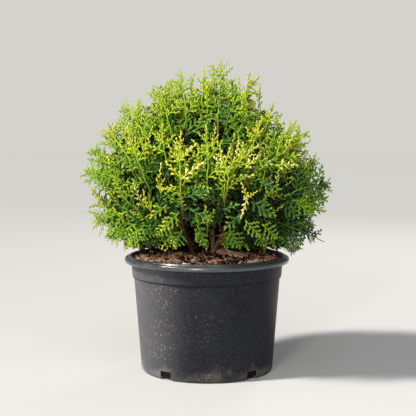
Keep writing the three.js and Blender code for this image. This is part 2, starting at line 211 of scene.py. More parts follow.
pot = turned_form("nursery_pot", [
    (AXIS_DOT, 0),
    *((radius * MM, level * MM) for radius, level in RECESS),
    (FOOT_RADIUS, 0),
    (FOOT_RADIUS + 2 * MM, 1 * MM),
    (BODY_BOTTOM - 1 * MM, HEEL - 3 * MM),
    (BODY_BOTTOM, HEEL),
    (BODY_BOTTOM + 0.6 * MM, HEEL + 9 * MM),
    (BODY_BOTTOM + (BODY_TOP - BODY_BOTTOM) * 0.5, (HEEL + COLLAR_STEP) / 2),
    (BODY_TOP, COLLAR_STEP - 4 * MM),
    (COLLAR_BOTTOM - 0.7 * MM, COLLAR_STEP - 2.2 * MM),
    (COLLAR_BOTTOM, COLLAR_STEP),
    (COLLAR_TOP, RIM_BOTTOM),
    *((RIM_RADIUS + out * MM, RIM_BOTTOM + up * MM) for out, up in RIM_ROLLS),
    (COLLAR_TOP - WALL, POT_HEIGHT - 8 * MM),
    (COLLAR_TOP - WALL - 2 * MM, COLLAR_STEP + 3 * MM),
    (inner_radius(COLLAR_STEP), COLLAR_STEP - 3 * MM),
    (inner_radius(FLOOR), FLOOR),
    (AXIS_DOT, FLOOR),
], segments=144)

# The step under the collar isn't quite level, as such thin walls warp when they cool.
for corner in pot.data.vertices:
    if abs(corner.co.z - (COLLAR_STEP - 2 * MM)) < 2.5 * MM and corner.co.xy.length > BODY_TOP - 1 * MM:
        turn = math.atan2(corner.co.y, corner.co.x)
        corner.co.z += COLLAR_WAVE * (math.sin(5 * turn + 1) + 0.7 * math.sin(11 * turn))


def cut_away(piece, cutter):
    """Cuts one form out of a piece, and clears the cutter away."""
    select_only(piece)
    cut = piece.modifiers.new("cut", "BOOLEAN")
    cut.operation = "DIFFERENCE"
    cut.solver = "EXACT"
    cut.object = cutter
    bpy.ops.object.modifier_apply(modifier=cut.name)
    bpy.data.objects.remove(cutter)


for azimuth in NOTCHES:
    turn = math.radians(azimuth - 90)
    middle = (RIM_RADIUS + NOTCH_START) / 2
    bpy.ops.object.select_all(action="DESELECT")
    bpy.ops.mesh.primitive_cube_add(size=1)
    cutter = bpy.context.object
    bpy.ops.object.mode_set(mode="EDIT")
    bpy.ops.mesh.select_all(action="DESELECT")
    block = bmesh.from_edit_mesh(cutter.data)
    for face in block.faces:
        face.select = face.normal.z > 0.5
    bmesh.update_edit_mesh(cutter.data)
    bpy.ops.transform.resize(value=(1, NOTCH_TAPER, 1))
    bpy.ops.object.mode_set(mode="OBJECT")
    cutter.scale = (RIM_RADIUS - NOTCH_START, NOTCH_WIDTH, NOTCH_HEIGHT * 2)
    cutter.location = (math.cos(turn) * middle, math.sin(turn) * middle, 0)
    cutter.rotation_euler = (0, 0, turn)
    bpy.ops.object.transform_apply(location=True, rotation=True, scale=True)
    cut_away(pot, cutter)
smooth(pot)


def threshold(tree, value, start, end):
    """Turns a value into a mask that rises from 0 at the start to 1 at the end."""
    return add_node(tree, "ShaderNodeMapRange", {
        "Value": value, "From Min": start, "From Max": end,
    }, interpolation_type="SMOOTHSTEP").outputs["Result"]


def blended(tree, factor, first, second):
    """The first colour, turning into the second where the factor is 1."""
    mix = add_node(tree, "ShaderNodeMix", data_type="RGBA")
    for socket, value in (("Factor_Float", factor), ("A_Color", first), ("B_Color", second)):
        target = next(one for one in mix.inputs if one.identifier == socket)
        if isinstance(value, bpy.types.NodeSocket):
            tree.links.new(value, target)
        else:
            target.default_value = value if socket == "Factor_Float" else (*value, 1)
    return next(one for one in mix.outputs if one.identifier == "Result_Color")


def product(tree, first, second):
    return add_node(tree, "ShaderNodeMath", {0: first, 1: second}, operation="MULTIPLY").outputs[0]


def scaled(tree, value, factor, start):
    """A value times a factor, on top of a start."""
    node = add_node(tree, "ShaderNodeMath", {0: value, 1: factor, 2: start}, operation="MULTIPLY_ADD")
    return node.outputs[0]


def noise_on(tree, place, scale, detail, roughness=0.5):
    return add_node(tree, "ShaderNodeTexNoise", {
        "Vector": place, "Scale": scale, "Detail": detail, "Roughness": roughness,
    }).outputs["Fac"]


def drawn_out(tree, place, scale, turn=(0, 0, 0)):
    """Coordinates turned and then scaled, so that a pattern on them is drawn out along one axis."""
    turned = add_node(tree, "ShaderNodeMapping", {"Vector": place, "Rotation": turn}).outputs[0]
    return add_node(tree, "ShaderNodeMapping", {"Vector": turned, "Scale": scale}).outputs[0]


def add_relief(tree, shader, height, strength, distance):
    """Small bumps on a finish, as high as the distance."""
    bump = add_node(tree, "ShaderNodeBump", {"Height": height, "Strength": strength, "Distance": distance})
    tree.links.new(bump.outputs["Normal"], shader.inputs["Normal"])


def mask_group(name, **amounts):
    """An empty node group that makes a mask from a place and named amounts, its inputs and its output."""
    tree = bpy.data.node_groups.new(name, "ShaderNodeTree")
    tree.interface.new_socket(name="Vector", in_out="INPUT", socket_type="NodeSocketVector")
    for amount, usual in amounts.items():
        socket = tree.interface.new_socket(name=amount, in_out="INPUT", socket_type="NodeSocketFloat")
        socket.default_value = usual
    tree.interface.new_socket(name="Mask", in_out="OUTPUT", socket_type="NodeSocketFloat")
    return tree, tree.nodes.new("NodeGroupInput").outputs, tree.nodes.new("NodeGroupOutput").inputs["Mask"]


# Grains of soil and dust that stick to a surface: how much of it they cover is an input.
grains, given, grain_mask = mask_group("grains", Scale=300, Cover=0.5)
speck = noise_on(grains, given["Vector"], given["Scale"], 2, 0.7)
drift = noise_on(grains, given["Vector"], 14, 3)
height = scaled(grains, drift, 0.34, speck)
needed = scaled(grains, given["Cover"], -0.3, 0.98)
over = add_node(grains, "ShaderNodeMath", {0: height, 1: needed}, operation="SUBTRACT").outputs[0]
grains.links.new(threshold(grains, over, 0, 0.035), grain_mask)

charcoal, tree, shader = new_finish("charcoal polypropylene", (0.022, 0.024, 0.029), 0.5, gloss=0.2)
place = add_node(tree, "ShaderNodeTexCoord").outputs["Object"]
axes = add_node(tree, "ShaderNodeSeparateXYZ", {"Vector": place}).outputs

# Where dust and dirt gather: on the sunny left and in an uneven band round the foot. The sunny left is also
# painted lighter, as painted sunlight, and a dark band under the collar is painted shadow under its step.
# The sunny left: more dust and scratches, and a lighter layer of painted sunlight.
sunlit_and_dusty_side = threshold(tree, axes["X"], -0.02, -0.17)
splashed_side = threshold(tree, axes["X"], 0.05, -0.09)
off_centre = add_node(tree, "ShaderNodeMath", {0: axes["X"]}, operation="ABSOLUTE").outputs[0]
flanks = threshold(tree, off_centre, 0.04, 0.12)
foot_edge = scaled(tree, noise_on(tree, place, 26, 4, 0.6), -0.09, axes["Z"])
foot_band = threshold(tree, foot_edge, -0.015, -0.04)
# The band just under the collar's step, painted dark as painted shadow.
painted_shadow_under_collar = product(
    tree, threshold(tree, axes["Z"], COLLAR_STEP - 4.5 * MM, COLLAR_STEP - 2.5 * MM),
    threshold(tree, axes["Z"], COLLAR_STEP + 0.4 * MM, COLLAR_STEP - 0.6 * MM),
)
# The rim: glossier, with a coat, and painted a lighter blue grey as painted sheen.
rim_gloss_and_painted_sheen = threshold(tree, axes["Z"], RIM_BOTTOM - 1 * MM, RIM_BOTTOM + 3 * MM)
film = threshold(tree, noise_on(tree, place, 9, 5, 0.62), 0.34, 0.72)
scuffs = threshold(tree, noise_on(tree, drawn_out(tree, place, (70, 70, 9)), 1, 3), 0.6, 0.74)

# Dots of dry mud, a little longer the way that they were flung, and in patches.
flung = drawn_out(tree, place, (200, 200, 110), turn=(0, 0.7, 0))
splash = add_node(tree, "ShaderNodeTexVoronoi", {"Vector": flung, "Scale": 1}).outputs["Distance"]
patches = threshold(tree, noise_on(tree, place, 13, 2), 0.47, 0.66)
mud_dots = product(tree, threshold(tree, splash, 0.22, 0.13), patches)

# Hair-fine scratches in two directions.
scratches = []
for slope in (0.8, -0.65):
    hairs = noise_on(tree, drawn_out(tree, place, (760, 760, 150), turn=(0.2, slope, 0)), 1, 1)
    scratches.append(threshold(tree, hairs, 0.66, 0.74))
scratched = add_node(tree, "ShaderNodeMath", dict(enumerate(scratches)), operation="MAXIMUM").outputs[0]

dust = scaled(tree, foot_band, 0.45, scaled(tree, sunlit_and_dusty_side, 0.2, 0.36))
grit = add_node(tree, "ShaderNodeGroup", {"Vector": place, "Cover": dust, "Scale": 520}, node_tree=grains)
paint = blended(tree, product(tree, film, 0.3), (0.0054, 0.0063, 0.0108), (0.024, 0.0265, 0.037))
for mask, share, colour in (  # from the lowest layer to the last: where it lies, how much shows, its colour
    # painted sunlight on the sunny left
    (sunlit_and_dusty_side, 0.8, (0.105, 0.107, 0.12)),
    (scuffs, 0.04, (0.12, 0.11, 0.1)),
    (foot_band, scaled(tree, flanks, 0.26, 0.14), (0.19, 0.185, 0.18)),
    (scratched, scaled(tree, sunlit_and_dusty_side, 0.28, 0.2), (0.3, 0.26, 0.22)),
    (grit.outputs["Mask"], 0.4, (0.34, 0.29, 0.22)),
    (mud_dots, scaled(tree, splashed_side, 0.42, 0.16), (0.5, 0.4, 0.29)),
    # painted shadow under the collar
    (painted_shadow_under_collar, 0.8, (0.003, 0.003, 0.004)),
    # painted sheen on the rim
    (rim_gloss_and_painted_sheen, 0.9, (0.045, 0.048, 0.056)),
):
    paint = blended(tree, product(tree, mask, share), paint, colour)
tree.links.new(paint, shader.inputs["Base Color"])
dullness = scaled(tree, rim_gloss_and_painted_sheen, -0.1, scaled(tree, film, 0.16, 0.42))
tree.links.new(dullness, shader.inputs["Roughness"])
tree.links.new(rim_gloss_and_painted_sheen, shader.inputs["Coat Weight"])
shader.inputs["Coat Roughness"].default_value = 0.27
shader.inputs["Coat IOR"].default_value = 1.65
add_relief(tree, shader, noise_on(tree, place, 130, 3), 0.1, 0.4 * MM)
pot.data.materials.append(charcoal)
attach(pot, "root")
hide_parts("pot")

# The potting mix.
# Moist bark and peat that fills the pot under the mulch. The CAD solid has its true shape and stays, with
# a crumbly dark finish.
moist, tree, shader = new_finish("moist potting mix", (0.05, 0.032, 0.02), 0.95, gloss=0.2)
place = add_node(tree, "ShaderNodeTexCoord").outputs["Object"]
crumbs = add_node(tree, "ShaderNodeGroup", {"Vector": place, "Scale": 150, "Cover": 0.8}, node_tree=grains)
crumbly = blended(tree, crumbs.outputs["Mask"], (0.032, 0.02, 0.013), (0.1, 0.06, 0.036))
level = add_node(tree, "ShaderNodeSeparateXYZ", {"Vector": place}).outputs["Z"]
# The bottom of the mix, seen through the drainage notches, darkens to near black as painted shade.
painted_notch_shade = threshold(tree, level, 0.04, 0.018)
tree.links.new(blended(tree, painted_notch_shade, crumbly, (0.006, 0.004, 0.003)), shader.inputs["Base Color"])
add_relief(tree, shader, crumbs.outputs["Mask"], 0.6, 1 * MM)
mix_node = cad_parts["potting_mix"]
mix_node.data.materials.clear()
mix_node.data.materials.append(moist)

# The bed of mulch.
# Fine dark bark, mounded round the stems and a little lower at the wall, its darkness partly painted shade
# for the gaps between the chips. The chips lie on it.
SOIL_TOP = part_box("potting_mix")[1].z
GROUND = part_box("stem_centre")[0].z
MULCH_EDGE = SOIL_TOP + 14 * MM
MULCH_RADIUS = COLLAR_TOP - WALL - 2.6 * MM
FLAT_RADIUS = 52 * MM
MULCH_LUMPS = 2.2 * MM


def mulch_level(radius):
    top = GROUND - 0.3 * MM
    if radius <= FLAT_RADIUS:
        return top
    return top - (top - MULCH_EDGE) * (radius - FLAT_RADIUS) / (BODY_TOP - FLAT_RADIUS)


BED_ROWS = 26
BED_DEPTH = 1.5 * MM  # of the bed below the level that the chips lie at
bed_profile = [(AXIS_DOT, SOIL_TOP + 0.3 * MM), (MULCH_RADIUS, SOIL_TOP + 0.3 * MM)]
for row in range(BED_ROWS):
    radius = MULCH_RADIUS * (1 - row / BED_ROWS)
    bed_profile.append((radius, mulch_level(radius) - BED_DEPTH))
bed_profile.append((AXIS_DOT, mulch_level(0) - BED_DEPTH))
bed = turned_form("mulch_bed", bed_profile, segments=96)
for corner in bed.data.vertices:
    if corner.co.z > SOIL_TOP + 5 * MM:
        fine = noise.noise(corner.co * 150)
        coarse = noise.noise(corner.co * 55)
        corner.co.z += MULCH_LUMPS * (fine + coarse)

# Fibres of wood and bark: long streaks along one axis, with a height for relief.
fibre, given, fibre_mask = mask_group("fibres", Scale=300)
thread = noise_on(fibre, given["Vector"], given["Scale"], 5, 0.65)
fibre.links.new(threshold(fibre, thread, 0.36, 0.66), fibre_mask)


def fibrous_finish(name, dark, pale, stretch, turn=(0, 0, 0), scale=1.0, relief=0.5 * MM):
    """A finish of streaks between a dark and a pale colour, stretched along one axis of the piece."""
    material, tree, shader = new_finish(name, dark, 0.9, gloss=0.25)
    place = add_node(tree, "ShaderNodeTexCoord").outputs["Object"]
    streaks = add_node(tree, "ShaderNodeGroup", {
        "Vector": drawn_out(tree, place, stretch, turn), "Scale": scale,
    }, node_tree=fibre).outputs["Mask"]
    tree.links.new(blended(tree, streaks, dark, pale), shader.inputs["Base Color"])
    add_relief(tree, shader, streaks, 0.7, relief)
    return material


# The bed's near-black colour is partly painted shade, for the gaps between the chips and round the slab.
bed.data.materials.append(
    fibrous_finish("fine dark bark", (0.01, 0.005, 0.003), (0.085, 0.04, 0.024), (1, 1, 1), scale=190)
)
smooth(bed, 50)
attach(bed, "root")
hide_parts("bark_mulch")

# The slab of bark.
# One larger weathered piece that lies on the bed to the right of the stems, split along its grain, with
# ragged ends and a pale reddish face, painted paler than the bark's own colour as painted sunlight.
SLAB_LENGTH = 68 * MM
SLAB_WIDTH = 19 * MM
SLAB_HEIGHT = 9 * MM
SLAB_PLACE = (54 * MM, -16 * MM)
SLAB_LIFT = 4 * MM  # of its middle over the level of the mulch
SLAB_TURN = math.radians(-27)
SLAB_SLOPE = math.radians(10)
SLAB_ROLL = math.radians(14)  # its face leans towards the front
SLAB_CUTS = 15
GRAIN_DEPTH = 0.9 * MM
RAGGED_END = 2.2 * MM
slab_middle = Vector((*SLAB_PLACE, mulch_level(math.hypot(*SLAB_PLACE)) + SLAB_LIFT))


def cut_block(name, cuts, size=(1, 1, 1)):
    """A block with its edges cut, for a form that is worked corner by corner."""
    bpy.ops.object.select_all(action="DESELECT")
    bpy.ops.mesh.primitive_cube_add(size=1)
    piece = bpy.context.object
    piece.name = name
    piece.scale = size
    bpy.ops.object.transform_apply(scale=True)
    bpy.ops.object.mode_set(mode="EDIT")
    bpy.ops.mesh.select_all(action="SELECT")
    bpy.ops.mesh.subdivide(number_cuts=cuts)
    bpy.ops.object.mode_set(mode="OBJECT")
    return piece


slab = cut_block("slab_of_bark", SLAB_CUTS, (SLAB_LENGTH, SLAB_WIDTH, SLAB_HEIGHT))
for corner in slab.data.vertices:
    along, across, up = corner.co.x / SLAB_LENGTH, corner.co.y / SLAB_WIDTH, corner.co.z / SLAB_HEIGHT
    corner.co.z += GRAIN_DEPTH * noise.noise(Vector((along * 2.5, across * 9, up * 4)))
    corner.co.y += GRAIN_DEPTH * noise.noise(Vector((along * 5, across * 3, up * 7 + 4)))
    if abs(along) > 0.49:  # its two ends
        corner.co.x += RAGGED_END * noise.noise(Vector((across * 7, up * 3, along * 9)))
    corner.co.y *= 1 - 0.13 * max(0, along) - 0.06 * abs(up)  # it narrows to the right
    corner.co.z *= 1 - 0.5 * abs(across) ** 2  # and thins out to its long edges
slab.matrix_world = (
    Matrix.Translation(slab_middle) @ Matrix.Rotation(SLAB_TURN, 4, "Z")
    @ Matrix.Rotation(SLAB_SLOPE, 4, "Y") @ Matrix.Rotation(SLAB_ROLL, 4, "X")
)
select_only(slab)
bpy.ops.object.transform_apply(location=True, rotation=True, scale=True)
smooth(slab, 40)
# The face is painted paler than weathered bark, as painted sunlight.
slab.data.materials.append(fibrous_finish(
    "weathered bark face", (0.62, 0.31, 0.21), (1, 0.64, 0.47), (22, 300, 300),
    turn=(0, 0, -SLAB_TURN), relief=0.6 * MM,
))
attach(slab, "root")
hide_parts("bark_slab")

# Loose chips of bark.
# Hammer-milled pine bark: angular splinters 6 to 25 mm long and finer crumbs, tumbled over the bed in every
# direction. They run from dark moist brown to dry orange tan.
CHIP_SHAPES = 6
CHIP_COUNT = 1150
SHORTEST_CHIP, LONGEST_CHIP = 6, 25  # millimetres
CHIP_SPREAD = 6  # about how much longer than the shortest they are on average
CRUMB_COUNT = 1100
CRUMB_SIZES = (3, 7)  # millimetres
EDGE_CRUMBS = 330  # those of them that have rolled down to the wall at the front
EDGE_BAND = (3, 16)  # millimetres from the bed's edge
BARE_CENTRE = 16 * MM  # radius of the middle, which is kept clear
CHIP_LIFT = (-0.5, 4)  # of a chip's middle over the level of the mulch, in millimetres
CHIP_SHADES = {
    "dark": (0.035, 0.016, 0.01),
    "brown": (0.27, 0.13, 0.078),
    "reddish": (0.72, 0.36, 0.22),
    "tan": (0.98, 0.56, 0.33),
    "pale": (1, 0.7, 0.46),
}


def mesh_arrays(piece):
    """Corners and triangles of a mesh, as arrays."""
    piece.data.calc_loop_triangles()
    corners = np.array([corner.co[:] for corner in piece.data.vertices])
    triangles = np.array([triangle.vertices[:] for triangle in piece.data.loop_triangles])
    return corners, triangles


def joined_piece(name, parts, finish, nodes):
    """One mesh from a list of corners and triangles, as a piece that stands for CAD nodes."""
    corners = np.concatenate([corners for corners, _ in parts]).astype(np.float32)
    starts = np.cumsum([0] + [len(corners) for corners, _ in parts[:-1]])
    triangles = np.concatenate([faces + start for (_, faces), start in zip(parts, starts)]).astype(np.int32)
    mesh = bpy.data.meshes.new(name)
    mesh.vertices.add(len(corners))
    mesh.vertices.foreach_set("co", corners.ravel())
    mesh.loops.add(3 * len(triangles))
    mesh.loops.foreach_set("vertex_index", triangles.ravel())
    mesh.polygons.add(len(triangles))
    mesh.polygons.foreach_set("loop_start", np.arange(0, 3 * len(triangles), 3, dtype=np.int32))
    mesh.update(calc_edges=True)
    mesh.validate()
    mesh.materials.append(finish)
    piece = bpy.data.objects.new(name, mesh)
    bpy.context.scene.collection.objects.link(piece)
    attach(piece, "root")
    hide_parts(*nodes)
    return piece


chance = random.Random(19)
chip_forms = []
for kind in range(CHIP_SHAPES):
    form = cut_block(f"chip_form_{kind}", 1)
    for corner in form.data.vertices:
        blunt = 1 - 0.22 * (abs(corner.co.y) + abs(corner.co.z))
        corner.co.x *= blunt * chance.uniform(0.8, 1.05)
        corner.co.y = corner.co.y * chance.uniform(0.7, 1.1) + 0.12 * corner.co.x * chance.uniform(-1, 1)
        corner.co.z = corner.co.z * chance.uniform(0.6, 1.15) + 0.1 * chance.uniform(-1, 1)
    chip_forms.append(mesh_arrays(form))
    bpy.data.objects.remove(form)

bpy.ops.object.select_all(action="DESELECT")
bpy.ops.mesh.primitive_ico_sphere_add(subdivisions=1, radius=0.5)
form = bpy.context.object
for corner in form.data.vertices:
    corner.co *= chance.uniform(0.7, 1.15)
crumb_form = mesh_arrays(form)
bpy.data.objects.remove(form)

slab_frame = Matrix.Rotation(-SLAB_TURN, 3, "Z")


def on_slab(x, y, margin):
    """Whether a place lies under the slab of bark, or within a margin of it."""
    local = slab_frame @ Vector((x - SLAB_PLACE[0], y - SLAB_PLACE[1], 0))
    return abs(local.x) < SLAB_LENGTH / 2 + margin and abs(local.y) < SLAB_WIDTH / 2 + margin


def chip_shade(x, y, radius):
    """Chips are lighter towards the wall and darker towards the stems; at the front, most of all at the front
    left and along the rim, they are lighter as painted sunlight, and round the slab darker as painted shadow.
    """
    dry_and_lit = 0.26 + 0.36 * min(1, radius / (140 * MM))
    if y < 0:
        dry_and_lit += 0.22 * (x < -60 * MM)
        dry_and_lit += 0.1 * (x > 60 * MM)
        dry_and_lit += 0.16 * (radius > MULCH_RADIUS - 20 * MM)
    dry_and_lit -= 0.26 * (math.hypot(x - SLAB_PLACE[0], y - SLAB_PLACE[1]) < 46 * MM)
    value = dry_and_lit + chance.gauss(0, 0.3)
    names = list(CHIP_SHADES)
    return names[min(len(names) - 1, max(0, int(value * len(names) - 0.6)))]


chips = {shade: [] for shade in CHIP_SHADES}
for number in range(CHIP_COUNT + CRUMB_COUNT):
    small = number >= CHIP_COUNT
    radius = math.sqrt(chance.uniform(BARE_CENTRE ** 2, (MULCH_RADIUS - 5 * MM) ** 2))
    turn = chance.uniform(0, 2 * math.pi)
    if number >= CHIP_COUNT + CRUMB_COUNT - EDGE_CRUMBS:
        radius = MULCH_RADIUS - chance.uniform(*EDGE_BAND) * MM
        turn = -math.pi * chance.uniform(0.06, 0.94)  # from the right, round the front, to the left
    x, y = radius * math.cos(turn), radius * math.sin(turn)
    if small:
        length = chance.uniform(*CRUMB_SIZES) * MM
    else:
        length = min(LONGEST_CHIP, SHORTEST_CHIP + chance.expovariate(1 / CHIP_SPREAD)) * MM
    if on_slab(x, y, 3 * MM + length / 4):
        continue
    width = length * (0.8 if small else chance.uniform(0.28, 0.55))
    deep = length * (0.6 if small else chance.uniform(0.14, 0.3))
    corners, faces = crumb_form if small else chip_forms[number % CHIP_SHAPES]
    tilt = 22 if length > 14 * MM else 40  # long chips lie flatter
    turned = (
        Matrix.Rotation(chance.uniform(0, 2 * math.pi), 3, "Z")
        @ Matrix.Rotation(math.radians(chance.uniform(-tilt, tilt)), 3, "Y")
        @ Matrix.Rotation(math.radians(chance.uniform(-50, 50)), 3, "X")
    )
    reach = radius + length / 2
    if reach > MULCH_RADIUS:
        radius -= reach - MULCH_RADIUS
        x, y = radius * math.cos(turn), radius * math.sin(turn)
    middle = np.array((x, y, mulch_level(radius) + chance.uniform(*CHIP_LIFT) * MM))
    placed = corners * (length, width, deep) @ np.array(turned).T + middle
    chips[chip_shade(x, y, radius)].append((placed, faces))
for shade, parts in chips.items():
    finish, _, _ = new_finish(f"{shade} bark chip", CHIP_SHADES[shade], 0.85, gloss=0.25)
    joined_piece(f"bark_chips_{shade}", parts, finish, ["bark_mulch"])

# Stems and boughs.
# Five slender stems stand in the mulch, and boughs leave them for the masses of foliage, along the curves of
# the CAD source. Their thin reddish-brown bark has fine twisted ridges. From here on numbers are millimetres.
UP = np.array((0.0, 0.0, 1.0))
CROWN_CENTRE = 400.0
CROWN_RADIUS = 276.0
SHOULDER_DIP = 22.0
LOWER_TAPER = 1.05
CROWN_ROOT = np.array((0.0, 0.0, 322.0))
LOWEST_INSIDE, LOWEST_OUTSIDE = 266.0, 250.0
GROUND_LEVEL = GROUND / MM
LIMB_TIP = 2.6
BOUGH_FOOT = 3.3  # radius where a bough leaves its stem
STEM_SLIMNESS, TIP_SLIMNESS = 0.78, 0.8  # of the stems here, as shares of the source's
FLARE = 0.36  # how much wider a stem's foot is, as a share of its radius
FLARE_REACH = 0.035  # how soon the flare dies out, as a share of the stem's length
FOOT_DEPTH = 8  # how far a stem's curve starts below the ground, where its mesh is cut flat
STEMS = (  # name, foot, mass at its tip, radius, outward bend
    ("stem_centre", (12, 28), "top_1", 6.2, 8),
    ("stem_front_left", (-30, 4), "shoulder_1", 6.2, 16),
    ("stem_front_right", (10, -12), "shoulder_2", 5.6, 14),
    ("stem_back_right", (32, 22), "shoulder_4", 5.0, 12),
    ("stem_back_left", (-22, 36), "shoulder_5", 5.0, 12),
)
RINGS = (  # name, elevation, count, first azimuth, where boughs leave, arch, end
    ("low", -12, 6, -90, 0.14, 10, 0.4),
    ("wide", 14, 6, -60, 0.3, 4, 0.42),
    ("shoulder", 41, 5, -126, 0.5, 4, 0.44),
    ("upper", 65, 3, -90, 0.6, 4, 0.46),
    ("top", 87, 1, 0, 0.7, 4, 0.48),
)


def unit(vector):
    return vector / max(math.sqrt(float(vector @ vector)), 1e-9)


def unit_vector(azimuth, elevation):
    a, e = math.radians(azimuth), math.radians(elevation)
    return np.array((math.cos(e) * math.cos(a), math.cos(e) * math.sin(a), math.sin(e)))


def inside_outline(point, slack=0.0):
    """Whether a point is inside the crown's outline: a globe, drawn in half way up and at its foot."""
    x, y, z = point[0], point[1], point[2] - CROWN_CENTRE
    arm = math.sqrt(x * x + y * y + z * z)
    elevation = math.asin(max(-1.0, min(1.0, z / max(arm, 1e-6))))
    if elevation < 0:
        outline = CROWN_RADIUS + LOWER_TAPER * math.degrees(elevation)
    else:
        outline = CROWN_RADIUS - SHOULDER_DIP * math.sin(2 * elevation) ** 2
    if arm > outline + slack:
        return False
    share = (math.hypot(x, y) - BODY_TOP / MM) / (RIM_RADIUS / MM + 30 - BODY_TOP / MM)
    share = max(0.0, min(1.0, share))
    share = share * share * (3 - 2 * share)
    return point[2] > LOWEST_INSIDE + (LOWEST_OUTSIDE - LOWEST_INSIDE) * share


def reach_along(direction):
    reach = 60.0
    while inside_outline(CROWN_ROOT + direction * (reach + 2)):
        reach += 2
    return reach


def catmull_rom(points, count):
    """Points spread evenly along a centripetal Catmull-Rom curve, and its headings there."""
    points = [np.array(point, float) for point in points]
    padded = [2 * points[0] - points[1], *points, 2 * points[-1] - points[-2]]
    fine = []
    for i in range(len(points) - 1):
        p0, p1, p2, p3 = padded[i:i + 4]
        pairs = ((p0, p1), (p1, p2), (p2, p3))
        d0, d1, d2 = (max(float((b - a) @ (b - a)), 1e-4) ** 0.25 for a, b in pairs)
        t1 = ((p1 - p0) / d0 - (p2 - p0) / (d0 + d1) + (p2 - p1) / d1) * d1
        t2 = ((p2 - p1) / d1 - (p3 - p1) / (d1 + d2) + (p3 - p2) / d2) * d1
        bend = 3 * p2 - 3 * p1 - 2 * t1 - t2
        twist = 2 * p1 - 2 * p2 + t1 + t2
        for t in np.linspace(0, 1, 60, endpoint=i == len(points) - 2):
            fine.append(p1 + t1 * t + bend * t * t + twist * t ** 3)
    return evenly(np.array(fine), count)


def evenly(fine, count):
    """A line of points laid out again at even distances, and its headings there."""
    steps = np.linalg.norm(np.diff(fine, axis=0), axis=1)
    walked = np.concatenate(([0], np.cumsum(steps)))
    wanted = np.linspace(0, walked[-1], count)
    even = np.stack([np.interp(wanted, walked, fine[:, axis]) for axis in range(3)], axis=1)
    headings = np.gradient(even, axis=0)
    return even, headings / np.linalg.norm(headings, axis=1)[:, None]


def frames_along(headings):
    """Two vectors across a line at each of its points, carried on without a twist."""
    first = unit(np.cross(headings[0], (0.3, 0.9, 0.2)))
    normals = [first]
    for heading in headings[1:]:
        normals.append(unit(normals[-1] - heading * float(normals[-1] @ heading)))
    normals = np.array(normals)
    return normals, np.cross(headings, normals)


masses = []
for name, elevation, count, first, leave, arch, end in RINGS:
    for k in range(count):
        azimuth = first + k * 360 / count
        masses.append({
            "name": f"{name}_{k + 1}", "azimuth": azimuth, "leave": leave, "arch": arch, "end": end,
            "direction": unit_vector(azimuth, elevation), "shoots": [],
        })
for mass in masses:
    mass["reach"] = reach_along(mass["direction"])
    mass["limb_end"] = CROWN_ROOT + mass["direction"] * mass["reach"] * mass["end"]

BARK_SIDES = 18
BARK_RELIEF = 0.09
BARK_TWIST = 0.02  # radians for each millimetre along a limb


def laid_limb(name, points, headings, radii, node):
    """A cylinder, cut into rows and laid along a curve, with the bark's ridges raised on it."""
    rows = len(points)
    bpy.ops.object.select_all(action="DESELECT")
    bpy.ops.mesh.primitive_cylinder_add(vertices=BARK_SIDES, radius=1, depth=1, end_fill_type="TRIFAN")
    piece = bpy.context.object
    piece.name = name
    bpy.ops.object.mode_set(mode="EDIT")
    bpy.ops.mesh.select_mode(type="EDGE")
    bpy.ops.mesh.select_all(action="DESELECT")
    shape = bmesh.from_edit_mesh(piece.data)
    for edge in shape.edges:
        edge.select = abs(edge.verts[0].co.z - edge.verts[1].co.z) > 0.5
    bmesh.update_edit_mesh(piece.data)
    bpy.ops.mesh.subdivide(number_cuts=rows - 2)
    bpy.ops.object.mode_set(mode="OBJECT")
    normals, sides = frames_along(headings)
    walked = np.concatenate(([0], np.cumsum(np.linalg.norm(np.diff(points, axis=0), axis=1))))
    for corner in piece.data.vertices:
        row = min(rows - 1, max(0, round((corner.co.z + 0.5) * (rows - 1))))
        across, up = corner.co.x, corner.co.y
        if across or up:
            turn = math.atan2(up, across) + walked[row] * BARK_TWIST
            ridges = 0.5 * math.sin(5 * turn + 2 * math.sin(walked[row] * 0.05))
            ridges += noise.noise(Vector((math.cos(turn) * 3, math.sin(turn) * 3, walked[row] * 0.045)))
            swell = radii[row] * (1 + BARK_RELIEF * ridges)
            across, up = across * swell, up * swell
        place = points[row] + normals[row] * across + sides[row] * up
        place[2] = max(place[2], GROUND_LEVEL)
        corner.co = place * MM
    smooth(piece, 60)
    piece.data.materials.append(bark)
    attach(piece, "root")
    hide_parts(node)


bark = fibrous_finish(
    "thin reddish bark", (0.16, 0.075, 0.042), (0.52, 0.29, 0.17), (420, 420, 45), relief=0.5 * MM
)
stem_lines = []
for name, foot, mass_name, radius, bend in STEMS:
    mass = next(one for one in masses if one["name"] == mass_name)
    outward = np.array((*foot, 0.0))
    ground = outward + UP * GROUND_LEVEL
    below = outward * 0.92 + UP * (GROUND_LEVEL - FOOT_DEPTH)
    middle = (ground + mass["limb_end"]) / 2 + unit(outward) * bend
    points, headings = catmull_rom([below, ground, middle, mass["limb_end"]], 60)
    share = np.linspace(0, 1, len(points))
    slim = radius * STEM_SLIMNESS
    radii = slim + (LIMB_TIP * TIP_SLIMNESS - slim) * share ** 0.8
    radii = radii + radius * FLARE * np.exp(-share / FLARE_REACH)
    laid_limb(name.replace("stem_", "bark_stem_"), points, headings, radii, name)
    stem_lines.append(points)
    mass["tip"] = points[-1]
    mass["heading"] = headings[-1]


def turn_between(point, azimuth):
    """How many degrees a point stands off an azimuth, seen from above."""
    return abs((math.degrees(math.atan2(point[1], point[0])) - azimuth + 540) % 360 - 180)


